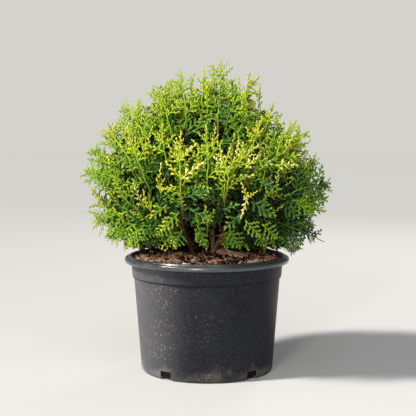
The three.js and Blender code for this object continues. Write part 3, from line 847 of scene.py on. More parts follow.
for mass in masses:
    if "tip" in mass:  # a stem ends in it
        continue
    origins = [line[round(mass["leave"] * (len(line) - 1))] for line in stem_lines]
    start = min(origins, key=lambda point: turn_between(point, mass["azimuth"]))
    middle = (start + mass["limb_end"]) / 2 + UP * mass["arch"]
    points, headings = catmull_rom([start, middle, mass["limb_end"]], 30)
    radii = np.linspace(BOUGH_FOOT, LIMB_TIP, len(points))
    laid_limb(f"bark_bough_{mass['name']}", points, headings, radii, f"bough_{mass['name']}")
    mass["tip"] = points[-1]
    mass["heading"] = headings[-1]

# Branchlets and young shoots.
# A branchlet carries on from the tip of each bough. Young golden-brown shoots leave it for the whole of the
# crown's outline, and each has a fork, so that the CAD source's rule is carried on to finer twigs.
SHOOT_COUNT = 122
LOWEST_SHOOT = -20
SHOOT_RISE = 0.85
GOLDEN_ANGLE = 137.508
CLEAR_OF_CENTRE = math.radians(11)
SHOOT_LENGTH = 112
BRANCHLET_REACH = 0.7  # of the way from the crown's root to its outline
NEAREST_LEAVE, FURTHEST_LEAVE = 0.16, 0.97  # where shoots leave a branchlet, as shares of its length
FORK_SPREAD = 0.17
FORK_REACH = 0.92
HOLLOW = unit_vector(-20, 50)


def seeded_random(seed):
    """The CAD source's repeatable sequence of numbers from 0 to 1."""
    state = (seed * 7919 + 104729) % 2147483647
    skipped = 0
    while True:
        state = (state * 16807) % 2147483647
        skipped += 1
        if skipped > 3:
            yield state / 2147483647


def tube(points, radii, sides):
    """A closed tube of triangles along a line of points."""
    headings = np.gradient(points, axis=0)
    headings /= np.linalg.norm(headings, axis=1)[:, None]
    normals, across = frames_along(headings)
    turns = np.arange(sides) * 2 * math.pi / sides
    rings = points[:, None] + radii[:, None, None] * (
        normals[:, None] * np.cos(turns)[None, :, None] + across[:, None] * np.sin(turns)[None, :, None]
    )
    corners = np.concatenate((rings.reshape(-1, 3), points[:1], points[-1:]))
    rows = len(points)
    faces = []
    for row in range(rows - 1):
        for side in range(sides):
            a, b = row * sides + side, row * sides + (side + 1) % sides
            faces += [(a, b, b + sides), (a, b + sides, a + sides)]
    first, last = rows * sides, rows * sides + 1
    for side in range(sides):
        faces.append((first, (side + 1) % sides, side))
        faces.append((last, (rows - 1) * sides + side, (rows - 1) * sides + (side + 1) % sides))
    return corners * MM, np.array(faces)


def bezier(start, bend, end, count):
    t = np.linspace(0, 1, count)[:, None]
    return start * (1 - t) ** 2 + bend * 2 * t * (1 - t) + end * t ** 2


def shoot_heading(aim):
    """Shoots turn up from the way that they grow, most of all half way up, and the lowest ones droop."""
    elevation = math.degrees(math.asin(max(-1.0, min(1.0, aim[2]))))
    azimuth = math.degrees(math.atan2(aim[1], aim[0]))
    lift = np.interp(elevation, (-20, -8, 6, 30, 55, 90), (-24, -6, 24, 46, 30, 0))
    return unit_vector(azimuth, min(88, elevation + lift))


def fullness(aim, draw):
    """How far a shoot reaches towards the outline: tips are ragged, and the right shoulder is hollow."""
    hollow = max(0.0, float(aim @ HOLLOW) - 0.8) / 0.2
    behind = float(np.interp(aim[1], (-0.5, -0.15, 0.1, 0.4), (0.95, 0.955, 0.985, 1)))
    crest = 0.03 * (aim[2] > 0.6 and aim[1] > -0.3)
    return (0.88 + 0.13 * draw) * (1 - 0.08 * hollow) * behind + crest


lowest = math.sin(math.radians(LOWEST_SHOOT))
for k in range(SHOOT_COUNT):
    level = lowest + (1 - lowest) * ((k + 0.5) / SHOOT_COUNT) ** SHOOT_RISE
    direction = unit_vector(k * GOLDEN_ANGLE, math.degrees(math.asin(level)))
    mass = max(masses, key=lambda one: float(one["direction"] @ direction))
    if math.acos(min(1.0, float(mass["direction"] @ direction))) > CLEAR_OF_CENTRE:
        mass["shoots"].append(direction)

foliage_nodes = [f"foliage_{mass['name']}" for mass in masses]
branchlets, young_shoots, old_shoots = [], [], []
leaders = []  # the lines that leaves grow on, each with its aim from the crown's root
for k, mass in enumerate(masses):
    draw = seeded_random(k + 1)
    start = mass["tip"]
    end = CROWN_ROOT + mass["direction"] * mass["reach"] * BRANCHLET_REACH
    bend = start + mass["heading"] * np.linalg.norm(end - start) * 0.4
    branchlet, _ = evenly(bezier(start, bend, end, 40), 24)
    branchlets.append(tube(branchlet, np.linspace(LIMB_TIP, 1.5, 24), 7))
    mass["branchlet"] = branchlet
    for direction in [mass["direction"], *mass["shoots"]]:
        angle = math.acos(min(1.0, float(direction @ mass["direction"])))
        leave = max(NEAREST_LEAVE, min(FURTHEST_LEAVE, FURTHEST_LEAVE - 1.7 * angle))
        root = branchlet[round(leave * 23)]
        reach = reach_along(direction) * fullness(direction, next(draw))
        tip = CROWN_ROOT + direction * reach
        heading = shoot_heading(direction)
        length = min(SHOOT_LENGTH * (0.9 + 0.2 * next(draw)), np.linalg.norm(tip - root) - 12)
        knee = tip - heading * length
        line, _ = evenly(bezier(root, knee, tip, 40), 16)
        old_shoots.append(tube(line[:6], np.linspace(2, 1.6, 6), 5))
        young_shoots.append(tube(line[5:10], np.linspace(1.5, 1.2, 5), 5))
        leaders.append({"line": line, "aim": direction, "reach": reach, "rank": 0, "green_from": 9})
        level = unit(np.array((-direction[1], direction[0], 0.0)) + 1e-6)
        rise = np.cross(direction, level)
        turn = 2 * math.pi * next(draw)
        side = level * math.cos(turn) + rise * math.sin(turn)
        aim = unit(direction + side * FORK_SPREAD * (0.8 + 0.4 * next(draw)))
        fork_reach = reach_along(aim) * fullness(aim, next(draw)) * FORK_REACH
        fork_tip = CROWN_ROOT + aim * fork_reach
        fork_root = line[6]
        fork_knee = fork_tip - shoot_heading(aim) * np.linalg.norm(fork_tip - fork_root) * 0.6
        fork_line, _ = evenly(bezier(fork_root, fork_knee, fork_tip, 30), 10)
        young_shoots.append(tube(fork_line[:4], np.linspace(1.2, 1.0, 4), 4))
        leaders.append({"line": fork_line, "aim": aim, "reach": fork_reach, "rank": 1, "green_from": 3})

# Leaders that the photo shows plainly: where foot, middle and tip are seen at the pot's axis, across and up,
# how golden each is, and how many of its 22 points are brown.
LEADER_POINTS = 22
FRONT_LEADERS = (
    ((-54, 338), (-59, 414), (-57, 512), 2, 5),
    ((41, 370), (46, 425), (26, 484), 1, 4),
    ((48, 403), (72, 453), (111, 490), 2, 3),
    ((39, 364), (111, 431), (205, 500), 1, 9),
    ((22, 392), (24, 523), (31, 671), 0, 9),
    ((33, 490), (55, 571), (111, 636), 1, 3),
    ((-102, 407), (-129, 495), (-185, 577), 0, 7),
    ((-46, 501), (-50, 588), (-61, 656), 0, 3),
    ((-76, 484), (-89, 556), (-111, 617), 0, 3),
    ((-146, 377), (-200, 414), (-272, 438), 0, 7),
    ((-155, 410), (-185, 475), (-224, 529), 1, 4),
    ((-102, 322), (-168, 309), (-216, 283), 0, 4),
    ((-124, 353), (-190, 338), (-251, 322), 1, 4),
    ((137, 344), (203, 388), (275, 407), 0, 4),
    ((120, 392), (166, 475), (190, 545), 0, 4),
    ((140, 425), (178, 484), (220, 521), 0, 3),
    ((105, 327), (181, 309), (253, 283), 0, 4),
    ((120, 301), (170, 279), (203, 259), 0, 3),
    ((148, 364), (203, 366), (255, 355), 0, 4),
    ((-15, 523), (-11, 588), (-7, 649), 0, 3),
    ((-2, 381), (2, 447), (-2, 534), 0, 4),
    ((83, 436), (105, 501), (120, 549), 1, 3),
    ((111, 479), (137, 545), (142, 583), 0, 3),
    ((-124, 370), (-146, 436), (-172, 523), 0, 3),
    ((-90, 440), (-96, 490), (-100, 545), 0, 3),
    ((60, 500), (88, 560), (84, 606), 0, 3),
    ((-60, 560), (-84, 610), (-90, 636), 0, 3),
    ((-140, 480), (-158, 540), (-150, 590), 0, 3),
    ((170, 420), (212, 440), (250, 462), 0, 3),
    ((-190, 400), (-224, 452), (-252, 488), 0, 3),
)


def on_crown(across, height, sunk=0.0):
    """The place on the crown's front that is seen here, or beside the axis where it is past the edge."""
    for y in range(-int(CROWN_RADIUS), 1, 3):  # from the front of the crown to its middle
        nearer = (VIEW_DISTANCE + y) / VIEW_DISTANCE
        point = np.array((across * nearer, y, VIEW_HEIGHT + (height - VIEW_HEIGHT) * nearer))
        if inside_outline(point):
            return point + np.array((0.0, sunk, 0.0))
    return np.array((across, 0.0, height))


def nearest_limb(point):
    """The nearest place on a branchlet, for a shoot to leave from."""
    places = np.concatenate([mass["branchlet"] for mass in masses])
    return places[np.argmin(np.linalg.norm(places - point, axis=1))]


for foot, middle, tip, golden, brown in FRONT_LEADERS:
    edge = min(1.0, math.hypot(tip[0], tip[1] - CROWN_CENTRE) / 270) ** 2  # 1 at the crown's edge
    foot, middle, tip = on_crown(*foot, 30 + 75 * edge), on_crown(*middle, 12 + 46 * edge), on_crown(*tip, 5)
    tip[1] += 30 * edge * math.sin(foot[0])
    line, headings = catmull_rom([foot, middle, tip], LEADER_POINTS)
    waver = np.sin(np.arange(LEADER_POINTS) * 1.1 + foot[0]) * 0.8
    line = line + np.cross(headings, (0, -1, 0)) * waver[:, None]
    root = nearest_limb(foot)
    bend = foot + np.array((0.0, 40.0, -10.0))
    old_shoots.append(tube(evenly(bezier(root, bend, foot, 20), 7)[0], np.linspace(1.8, 1.6, 7), 5))
    young_shoots.append(tube(line[:brown + 1], np.linspace(1.4, 1.05, brown + 1), 5))
    leaders.append({
        "line": line, "aim": unit(tip - CROWN_ROOT), "reach": np.linalg.norm(tip - CROWN_ROOT), "rank": 0,
        "green_from": brown, "golden": golden,
    })

branchlet_finish, _, _ = new_finish("brown branchlet", (0.11, 0.055, 0.03), 0.8, gloss=0.3)
shoot_finish, _, _ = new_finish("golden brown shoot", (0.26, 0.15, 0.05), 0.7, gloss=0.25)
joined_piece("branchlets", branchlets, branchlet_finish, foliage_nodes)
joined_piece("young_shoots", young_shoots, shoot_finish, foliage_nodes)
joined_piece("old_shoots", old_shoots, branchlet_finish, foliage_nodes)

# Leaves.
# Scale leaves pressed flat, in lacy fronds like staghorn fern. Every frond has side branchlets set in turn,
# which carry blunt fingers. Colours run from deep green inside to fresh yellow green and gold at the tips;
# fronds are also painted darker inside and lighter on the left and top, as painted shade and painted
# sunlight.
LEAF_SHADES = {
    "shade": (0.009, 0.021, 0.003),
    "deep": (0.026, 0.078, 0.008),
    "bluish": (0.058, 0.16, 0.028),
    "green": (0.086, 0.2, 0.01),
    "fresh": (0.172, 0.32, 0.011),
    "lime": (0.3, 0.435, 0.013),
    "yellow": (0.42, 0.478, 0.016),
    "gold": (0.58, 0.53, 0.03),
    "cream": (0.72, 0.67, 0.2),
}
SHADE, DEEP, BLUISH, GREEN, FRESH, LIME, YELLOW, GOLD, CREAM = range(len(LEAF_SHADES))
FINGER_LENGTH = 6.8
FINGER_WIDTH = 3.1
FINGER_RIDGE = 0.6
FINGER_STEP = 3.7  # along a branchlet, from a finger to the next one on the other side
FINGER_ANGLE = 42  # degrees between a finger and its branchlet
RIB_WIDTH = 2.6
RIB_STRETCHES = 3
BRANCHLET_ANGLE, ANGLE_LOSS = 54, 16  # degrees from the rib, and how much less at the frond's tip
BRANCHLET_STEP = 5.9  # along a frond, from a branchlet to the next one on the other side
FINGER_FACES = [(0, 1, 2), (0, 2, 3), (0, 3, 4), (1, 0, 5), (2, 1, 5), (3, 2, 5), (4, 3, 5), (0, 4, 5)]
RIB_FACES = [(0, 2, 1), (0, 3, 2), (1, 2, 5), (1, 5, 4), (0, 4, 5), (0, 5, 3), (0, 1, 4), (3, 5, 2)]


def ahead_of(turn):
    return np.array((math.cos(turn), math.sin(turn), 0.0))


def finger(base, turn, length, width):
    """A blunt finger of scale leaves: flat below, and rising to a low ridge above."""
    ahead, aside = ahead_of(turn) * length, ahead_of(turn + math.pi / 2) * width
    broadest = base + ahead * 0.68
    ridge = base + ahead * 0.5 + np.array((0.0, 0.0, FINGER_RIDGE))
    return [
        base + aside * 0.4, broadest + aside * 0.5, base + ahead,
        broadest - aside * 0.5, base - aside * 0.4, ridge,
    ]


def rib(base, turn, length, width, tip_width):
    """A straight stretch of a rib: three-sided, and narrower towards its tip."""
    tip = base + ahead_of(turn) * length
    aside, ridge = ahead_of(turn + math.pi / 2) * 0.5, np.array((0.0, 0.0, FINGER_RIDGE * 0.9))
    return [
        base + aside * width, base - aside * width, tip - aside * tip_width, tip + aside * tip_width,
        base + ridge, tip + ridge,
    ]


def frond_form(seed, length, widest):
    """A flat frond: parts of six corners, their faces, and where each is from the base, 0, to the edge, 1."""
    draw = random.Random(seed)
    parts, faces, edges = [], [], []

    def add_finger(base, turn, size, edge):
        parts.append(finger(base - ahead_of(turn) * 1.2, turn, size + 1.2, FINGER_WIDTH))
        faces.append(FINGER_FACES)
        edges.append(edge)

    def add_rib(base, turn, size, width, tip_width, edge):
        parts.append(rib(base, turn, size, width, tip_width))
        faces.append(RIB_FACES)
        edges.append(edge)

    step = (length - 6) / RIB_STRETCHES
    for k in range(RIB_STRETCHES):
        base = np.array((k * step - 0.5, 0.0, 0.0))
        widths = RIB_WIDTH * (1.1 - 0.13 * k), RIB_WIDTH * (0.97 - 0.13 * k)
        add_rib(base, 0, step + 1, *widths, 0.4 * k / RIB_STRETCHES)
    add_finger(np.array((length - FINGER_LENGTH, 0.0, 0.0)), 0, FINGER_LENGTH, 1)
    walked, side = 4.0, draw.choice((-1, 1))
    while walked < length - 5:
        share = walked / length
        reach = widest * min(1.0, 0.6 + 2.4 * share) * (1 - share) ** 0.7 * draw.uniform(0.88, 1.12)
        reach = max(reach, FINGER_LENGTH * 0.8)
        turn = side * math.radians(BRANCHLET_ANGLE - ANGLE_LOSS * share + draw.uniform(-5, 5))
        ahead, foot = ahead_of(turn), np.array((walked, 0.0, 0.0))
        if reach < FINGER_LENGTH + 3:
            add_finger(foot, turn, reach, 0.35 + 0.5 * share)
        else:
            add_rib(foot, turn, reach - 4, RIB_WIDTH * 0.95, RIB_WIDTH * 0.8, 0.2 + 0.4 * share)
            out, hand = 5.2, side
            while out < reach - 4:
                size = FINGER_LENGTH * (1 - 0.35 * out / reach) * draw.uniform(0.85, 1.1)
                angle = turn - hand * math.radians(FINGER_ANGLE + draw.uniform(-6, 6))
                add_finger(foot + ahead * out, angle, size, 0.3 + 0.35 * share + 0.3 * out / reach)
                out += FINGER_STEP
                hand = -hand
            add_finger(foot + ahead * (reach - 6), turn, 6.5, 0.6 + 0.35 * share)
        walked += BRANCHLET_STEP * draw.uniform(0.88, 1.12)
        side = -side
    return np.array(parts), np.array(faces), np.array(edges)


def bent(form, droop, cup):
    """A frond with its tip nodding down, its edges cupped, and its branchlets swept forward."""
    parts, faces, edges = form
    parts = parts.copy()
    out = np.abs(parts[..., 1])
    parts[..., 2] -= droop * parts[..., 0] ** 2 / 50 + cup * out ** 1.5 / 5
    parts[..., 0] += out ** 1.5 * 0.04
    return parts, faces, edges


# How far a frond droops and how far it is cupped, in six ways.
BENDS = ((0.1, 0.2), (0.22, 0.1), (0.05, -0.25), (0.16, 0.3), (-0.1, 0.1), (0.3, 0.2))
FROND_SIZES = ((58, 26), (44, 20), (32, 14), (22, 8))  # length, and reach of the longest branchlet
SLIM_SIZES = ((62, 15), (46, 12.5), (32, 10))


def bent_forms(sizes, first_seed):
    """Differently bent fronds of each length."""
    return {
        length: [
            bent(frond_form(seed, length, widest), *bend)
            for seed, bend in enumerate(BENDS, first_seed + length)
        ]
        for length, widest in sizes
    }


fronds, slim_fronds = bent_forms(FROND_SIZES, 0), bent_forms(SLIM_SIZES, 100)

leaf_parts = {shade: [] for shade in LEAF_SHADES}
draw = random.Random(23)
shade_names = list(LEAF_SHADES)


def leaf_tone(aim, share, own):
    """How light a frond's colour is, as painted light and shade: lightest at the crown's edge, on its sunlit
    left and near its top, and darker deeper in.
    """
    sunny = 0.575 - 0.13 * aim[0] + 0.56 * aim[2] + 0.12 * min(0, aim[1])
    return 2.6 * (share - 0.84) + 0.5 * sunny + own + draw.gauss(0, 0.06)


def place_frond(form, scale, base, heading, face, body, tips, tip_from):
    """Puts one frond in the crown, with one colour for its body and another for its tips."""
    parts, part_faces, edges = form
    face = unit(face - heading * float(face @ heading))
    across = np.cross(face, heading)
    placed = (parts * scale) @ np.stack((heading, across, face)) + base
    tipped = edges > tip_from
    for shade, chosen in ((body, ~tipped), (tips, tipped)):
        if chosen.any():
            corners = placed[chosen]
            faces = (part_faces[chosen] + 6 * np.arange(len(corners))[:, None, None]).reshape(-1, 3)
            leaf_parts[shade].append((corners.reshape(-1, 3) * MM, faces))


def scatter(amount):
    return np.array((draw.gauss(0, amount), draw.gauss(0, amount), draw.gauss(0, amount)))


STEM_GAP = 12
SHOWN_STEMS = (240, 335)  # the levels between which the stems show from the front


def before_stem(point, gap=STEM_GAP):
    """Whether a point hides the foot of one of the two front stems, which show from the front."""
    nearer = VIEW_DISTANCE / (VIEW_DISTANCE + point[1])
    level = VIEW_HEIGHT - (VIEW_HEIGHT - point[2]) * nearer
    if point[1] > 0 or not SHOWN_STEMS[0] < level < SHOWN_STEMS[1]:
        return False
    for line in stem_lines[1:3]:
        row = line[min(len(line) - 1, np.searchsorted(line[:, 2], level))]
        if abs(point[0] * nearer - row[0]) < gap:
            return True
    return False


def before_slab(point):
    """Whether a frond's tip here would hide the slab of bark, which shows from the front."""
    return point[2] < 284 and 20 < point[0] < 64 and point[1] < -80


LOWEST_LEAF = 266  # over the axis
LOWEST_RISE = 0.13  # leaves hang less low towards the front, where the mulch shows under them
SLACK, FRONT_SLACK = 5, 15  # how far leaves may pass the outline, and those of the front leaders
SHORTEST_FROND = 16


def clear_place(point, slack=SLACK):
    """Whether a leaf can be here: inside the outline, and clear of the mulch and the pot's rim."""
    return inside_outline(point, slack) and point[2] > LOWEST_LEAF - LOWEST_RISE * point[1] - slack


def grow_frond(base, heading, face, length, body, tips, tip_from, slim=False, slack=SLACK):
    """A frond of the outer crown: it is shortened until its tip has a clear place, or left out."""
    heading = unit(heading)
    for _ in range(5):
        if clear_place(base + heading * length, slack):
            break
        length *= 0.88
    else:
        return
    spots = [base + heading * length * share for share in (0.3, 0.55, 0.8, 1)]
    if length < SHORTEST_FROND or not clear_place(spots[1], slack):
        return
    if before_slab(spots[-1]) or any(before_stem(spot) for spot in spots):
        return
    if abs(float(unit(face) @ heading)) > 0.93:
        face = face + scatter(0.8)
    forms = slim_fronds if slim else fronds
    size = min(forms, key=lambda one: abs(one - length))
    form = draw.choice(forms[size])
    shades = shade_names[body], shade_names[min(CREAM, tips)]
    place_frond(form, length / size, base, heading, unit(face), *shades, tip_from)


TONE_STEPS = (0.1, 0.24, 0.42, 0.66)  # tones over which a frond takes the next lighter colour
END_FROND = 62
END_BACK, FRONT_END_BACK = 40, 56  # how far behind a leader's tip its end frond starts
OPENING, SLIM_OPENING = 34, 26  # degrees between a leader and its side fronds
LONGEST_SIDE, SHORTEST_SIDE = 62, 17
SIDE_LENGTHS = (10, 0.85)  # millimetres at the leader's tip, and growth for each millimetre behind it
FRONT_SIDE_LENGTHS = (4, 0.66)
TOP_LOSS = 18  # how much shorter the longest side fronds are at the top of the crown
BARE_FOOT = 8  # of a leader, without fronds
SUNLIT_BACK = 60  # how far back from a leader's tip its side fronds have golden tips
GOLDEN_BACK, ALL_GOLDEN_BACK = 50, 100  # and how far they are golden all over, on a golden leader
FLATNESS = 0.8  # how far the fronds of one leader lie in one plane
FACINGS = (0, -25, 25, -50, 50, 80)  # degrees that the flat side of a leader is turned from facing outward
FROND_PLACES = (22, 35, 51, 68, 87, 108)  # back from a leader's tip
FRONT_PLACES = (22, 33, 45, 58, 72, 87, 103, 120, 138, 157, 177, 198, 220, 243, 267)
for leader in leaders:
    line, aim = leader["line"], leader["aim"]
    main, front = leader["rank"] == 0, "golden" in leader
    slack = FRONT_SLACK if front else SLACK
    own = draw.gauss(0, 0.09)
    golden = draw.random() < 0.08 + 0.1 * max(0, aim[2]) + 0.06 * (aim[0] < -0.4)
    if front:
        golden = leader["golden"] > draw.random()
    walked = np.concatenate(([0], np.cumsum(np.linalg.norm(np.diff(line, axis=0), axis=1))))
    end_heading = unit(line[-1] - line[-3])
    plane = unit(aim - end_heading * float(aim @ end_heading) + UP * 0.1 + 1e-6)
    roll = math.radians(draw.gauss(0, 26))
    plane = unit(plane * math.cos(roll) + np.cross(end_heading, plane) * math.sin(roll))
    edge_tone = leaf_tone(aim, 0.98, own)
    twig_tone = YELLOW if golden else GREEN + sum(edge_tone > step for step in TONE_STEPS[2:])
    axis_from = leader["green_from"]
    radii = np.linspace(1.25, 0.85, len(line) - axis_from)
    leaf_parts[shade_names[twig_tone]].append(tube(line[axis_from:], radii, 4))
    tips = draw.choice((GOLD, CREAM)) if golden else min(YELLOW, twig_tone + draw.choice((1, 1, 2)))
    sunlit = aim[0] < 0 or aim[2] > 0.7  # its newest growth has turned golden, and is painted more golden still as painted sunlight
    if sunlit:
        tips = max(tips, GOLD if front or main and aim[0] < -0.3 else YELLOW)
    outward = unit(aim * (1, 1, 0.3) + 1e-6)
    across = unit(np.cross(outward, UP))
    turn = math.radians(draw.choice(FACINGS[:3] if aim[2] < 0.15 else FACINGS) + draw.gauss(0, 12))
    looks = outward * math.cos(turn) + across * math.sin(turn)
    if front:
        looks = unit(np.array((aim[0] * 0.4 + draw.gauss(0, 0.3), -1, 0.25 + draw.gauss(0, 0.15))))
        plane = looks
    base = line[-1] - end_heading * (FRONT_END_BACK if front else END_BACK)
    face = plane + scatter(0.2)
    length = END_FROND * draw.uniform(0.92, 1.06)
    tip_from = draw.uniform(0.3, 0.6)
    grow_frond(base, end_heading, face, length, twig_tone, tips, tip_from, slim=True, slack=slack)
    hand = draw.choice((-1, 1))
    places = FRONT_PLACES if front else FROND_PLACES if main else FROND_PLACES[1:5]
    for back in places:
        spot = walked[-1] - back * draw.uniform(0.93, 1.07)
        if spot < BARE_FOOT:
            break
        base = np.array([np.interp(spot, walked, line[:, axis]) for axis in range(3)])
        along = unit(line[np.searchsorted(walked, spot)] - base + end_heading * 1e-3)
        side = unit(np.cross(looks, along) + 1e-6) * hand
        hand = -hand
        slim = aim[2] > 0.15 and back < 80 and draw.random() < 0.7 or bool(golden)
        opening = (SLIM_OPENING if slim else OPENING) + 0.2 * min(back, 90) + draw.uniform(-8, 8)
        opening = math.radians(opening)
        sag = (-0.5 if back > 50 and hand > 0 else -0.2) if aim[2] < 0.1 else 0.08
        heading = unit(along * math.cos(opening) + side * math.sin(opening) + UP * sag)
        face = looks + scatter(0.22)
        heading = unit(heading - face * float(heading @ face) / float(face @ face) * FLATNESS)
        least, growth = FRONT_SIDE_LENGTHS if front else SIDE_LENGTHS
        longest = LONGEST_SIDE - TOP_LOSS * max(0, aim[2])
        length = max(SHORTEST_SIDE, min(longest, least + growth * back)) * draw.uniform(0.88, 1.1)
        if front:
            depth = 0.985 - 0.0009 * back
        else:
            depth = np.linalg.norm(base + heading * length * 0.5 - CROWN_ROOT) / max(leader["reach"], 1)
        # Fronds on the crown's front side, behind the front leaders, are painted darker as painted shade.
        tone = leaf_tone(aim, depth, own) - 0.14 * (aim[1] < -0.25 and not front)
        body = DEEP + sum(tone > step for step in TONE_STEPS)
        if body == GREEN and draw.random() < (0.75 if aim[2] < 0.3 else 0.35):
            body = BLUISH
        if golden and back < (ALL_GOLDEN_BACK if main and leader.get("golden", 1) > 1 else GOLDEN_BACK):
            gilded, tips = draw.choice((LIME, YELLOW)), draw.choice((GOLD, CREAM))
            tip_from = draw.uniform(0.3, 0.55)
            grow_frond(base, heading, face, length, gilded, tips, tip_from, slim=True, slack=slack)
        else:
            tips = max(GREEN, body + (body < GREEN)) + draw.choice((0, 1, 1))
            # Side fronds near the tip on the sunlit side get yellow tips, partly as painted sunlight.
            if sunlit and back < SUNLIT_BACK:
                tips = max(tips, YELLOW)
            tip_from = draw.uniform(0.6, 0.85)
            grow_frond(base, heading, face, length, body, tips, tip_from, slim=slim, slack=slack)
        if front:  # a darker frond grows into the crown beside it
            into = np.array((draw.gauss(0, 0.25), math.sin(opening), -0.1))
            inward = unit(along * math.cos(opening) + into)
            # Its colour is darker, as painted shade inside the crown.
            deeper = max(DEEP, body - draw.choice((0, 1, 2)))
            face = np.array((hand, 0, 0.3)) + scatter(0.3)
            tip_from = draw.uniform(0.6, 0.85)
            grow_frond(base, inward, face, length * 1.1, deeper, deeper + 1, tip_from, slack=slack)

# Single fronds that the photo shows at the front: base and tip across and up, and shades of body and tips.
FRONT_FRONDS = (
    ((-55, 303), (-76, 256), GREEN, LIME), ((-62, 342), (-100, 303), FRESH, GOLD),
    ((-36, 349), (14, 322), BLUISH, FRESH), ((-20, 312), (2, 266), GREEN, FRESH),
    ((50, 303), (81, 255), GREEN, FRESH), ((85, 325), (122, 285), FRESH, LIME),
    ((98, 366), (150, 337), BLUISH, FRESH), ((-42, 377), (13, 399), BLUISH, LIME),
    ((74, 340), (36, 303), BLUISH, FRESH), ((116, 410), (164, 393), BLUISH, FRESH),
    ((-88, 359), (-126, 331), FRESH, GOLD), ((-80, 322), (-115, 285), FRESH, YELLOW),
    ((-124, 316), (-146, 275), GREEN, LIME), ((122, 316), (164, 280), FRESH, LIME),
    ((36, 349), (72, 362), BLUISH, FRESH), ((111, 294), (133, 261), GREEN, LIME),
    ((-150, 305), (-181, 268), FRESH, YELLOW), ((10, 372), (-28, 403), BLUISH, FRESH),
    ((90, 372), (75, 410), YELLOW, GOLD), ((90, 380), (74, 326), YELLOW, CREAM),
    ((88, 374), (112, 392), YELLOW, GOLD), ((-58, 415), (-6, 456), YELLOW, CREAM),
    ((-64, 400), (-104, 396), LIME, GOLD), ((104, 460), (148, 450), FRESH, CREAM),
    ((-60, 455), (-20, 498), LIME, GOLD), ((84, 440), (122, 474), YELLOW, CREAM),
    ((150, 446), (208, 452), LIME, CREAM),
)
GOLDEN_SIZE = 46  # of the slim forms that the golden ones take
for low, far, body, tips in FRONT_FRONDS:
    base, tip = on_crown(*low, 10), on_crown(*far, 0)
    length = np.linalg.norm(tip - base)
    golden = body > FRESH
    size = GOLDEN_SIZE if golden else min(fronds, key=lambda one: abs(one - length))
    form = draw.choice(slim_fronds[size] if golden else fronds[size])
    heading, face = (tip - base) / length, np.array((0, -1, 0.2)) + scatter(0.12)
    tip_from = 0.25 if golden else 0.66
    place_frond(form, length / size, base, heading, face, shade_names[body], shade_names[tips], tip_from)
    root = nearest_limb(base)
    stalk, _ = evenly(bezier(root, base + np.array((0, 40, 0)), base, 16), 6)
    leaf_parts["deep"].append(tube(stalk, np.linspace(1.2, 1.0, 6), 4))

# Older fronds inside the crown lie in shells one behind the other, coloured dark as painted shade.
SHELLS = ((0.83, 620, 1.3, 1.7), (0.74, 640, 1.6, 2.0), (0.6, 460, 2.0, 2.4))  # share of reach, count, scales
SHELL_GAP = 20  # that they leave beside the front stems, as seen from the front
INNER_SIZE = 32  # the length of the forms that they take, scaled up
NO_TIPS = 2  # past every edge, so that a frond has its body's colour all over
limb_places = np.concatenate(
    [*stem_lines, *(mass["branchlet"] for mass in masses), *(leader["line"] for leader in leaders)]
)
inner_forms = fronds[INNER_SIZE]


def inner_frond(form, scale, base, heading, face, body, tips="shade", tip_from=NO_TIPS):
    """A frond inside the crown, on a thin twig that leaves the nearest limb or shoot; the twig is near black,
    as painted shade.
    """
    place_frond(form, scale, base, heading, face, body, tips, tip_from)
    root = limb_places[np.argmin(np.linalg.norm(limb_places - base, axis=1))]
    if np.linalg.norm(root - base) > 1:
        leaf_parts["shade"].append(tube(np.array((root, base)), np.array((0.9, 0.7)), 3))


for share, count, least, most in SHELLS:
    for k in range(count):
        level = -0.3 + 1.3 * (k + 0.5) / count
        aim = unit(unit_vector(k * GOLDEN_ANGLE, math.degrees(math.asin(level))) + scatter(0.05))
        middle = CROWN_ROOT + aim * reach_along(aim) * share * draw.uniform(0.93, 1.03)
        heading = unit(np.cross(aim, scatter(1)) + aim * 0.25 + UP * 0.3)
        scale = draw.uniform(least, most) * (1 + 0.2 * max(0, aim[2]))
        half = heading * (INNER_SIZE / 2) * scale
        base, tip = middle - half, middle + half
        spots = [base + (tip - base) * part for part in (0, 0.2, 0.4, 0.6, 0.8, 1)]
        hides = any(before_stem(spot, SHELL_GAP) for spot in spots)
        if not hides and clear_place(base) and clear_place(tip):
            # Inner fronds in the sunny parts are painted lighter, as painted sunlight.
            if aim[2] > 0.45 or aim[0] < -0.45:  # the sunny parts of the crown
                shades = (DEEP, GREEN, GREEN) if share > 0.8 else (SHADE, DEEP, GREEN)
            else:
                shades = (SHADE, SHADE, DEEP) if share > 0.8 else (SHADE,)
            shade = shade_names[draw.choice(shades)]
            form = draw.choice(inner_forms)
            inner_frond(form, scale, base, heading, unit(aim + scatter(0.3)), shade)

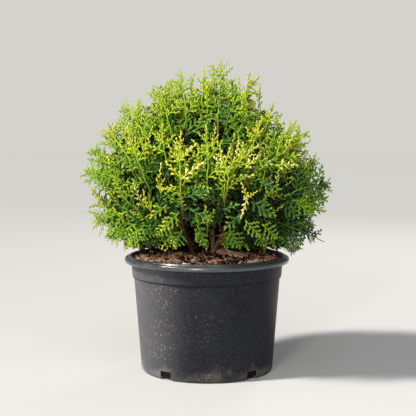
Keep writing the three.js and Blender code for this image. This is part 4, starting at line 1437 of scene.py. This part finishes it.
# Fronds painted dark, as painted shade, hang low behind the stems down to the mulch and the rim, and close
# the view under the crown.
SKIRT_COUNT = 420
SKIRT_START, SKIRT_WIDTH = 40, 130  # of the ring that they fill
SKIRT_LEVELS = (259, 300)
for k in range(SKIRT_COUNT):
    aim = unit_vector(k * GOLDEN_ANGLE, 0)
    radius = SKIRT_START + SKIRT_WIDTH * math.sqrt((k + 0.5) / SKIRT_COUNT)
    if aim[1] < 0.05:  # none stands before the stems
        continue
    base = aim * radius * 0.85 + UP * draw.uniform(*SKIRT_LEVELS)
    heading = unit(aim * 0.5 + UP * draw.uniform(-0.3, 0.3) + scatter(0.35))
    if (base + heading * 60)[2] > 256:  # its tip is over the mulch
        shade = shade_names[draw.choice((SHADE, SHADE, DEEP))]
        form = draw.choice(inner_forms)
        inner_frond(form, 1.9, base, heading, unit(aim + scatter(0.3)), shade)

TOWARDS_FRONT = np.array((0, -1, 0.3))
CLOSING_COUNT = 60  # fronds that lie across the view straight behind the stems
# They are near black, as painted shade.
for _ in range(CLOSING_COUNT):
    base = np.array((draw.uniform(-90, 80), draw.uniform(25, 140), draw.uniform(257, 284)))
    heading = unit(np.array((draw.choice((-1, 1)), draw.uniform(-0.3, 0.3), draw.uniform(-0.25, 0.3))))
    if (base + heading * 56)[2] > 254:
        inner_frond(draw.choice(inner_forms), 1.75, base, heading, TOWARDS_FRONT, "shade")

# A few more dark fronds, painted shade, lie beside them over the rim.
for across in (-152, -142, -132, -122, 112, 122, 132, 142):  # and a few beside them, over the rim
    base = np.array((across, draw.uniform(10, 50), draw.uniform(262, 272)))
    heading = unit(np.array((draw.choice((-1, 1)), 0.2, draw.uniform(-0.1, 0.3))))
    inner_frond(draw.choice(inner_forms), 1.5, base, heading, TOWARDS_FRONT, "shade", "deep", 0.7)

LARGEST_BATCH = 190000  # faces that one joined piece of leaves may have
for shade, parts in leaf_parts.items():
    finish, _, _ = new_finish(f"{shade} leaf", LEAF_SHADES[shade], 0.5, gloss=0.22)
    batch, faces = [], 0
    batches = [batch]
    for part in parts:
        if faces + len(part[1]) > LARGEST_BATCH:
            batch, faces = [], 0
            batches.append(batch)
        batch.append(part)
        faces += len(part[1])
    for number, batch in enumerate(batches, 1):
        if batch:
            joined_piece(f"leaves_{shade}_{number}", batch, finish, foliage_nodes)
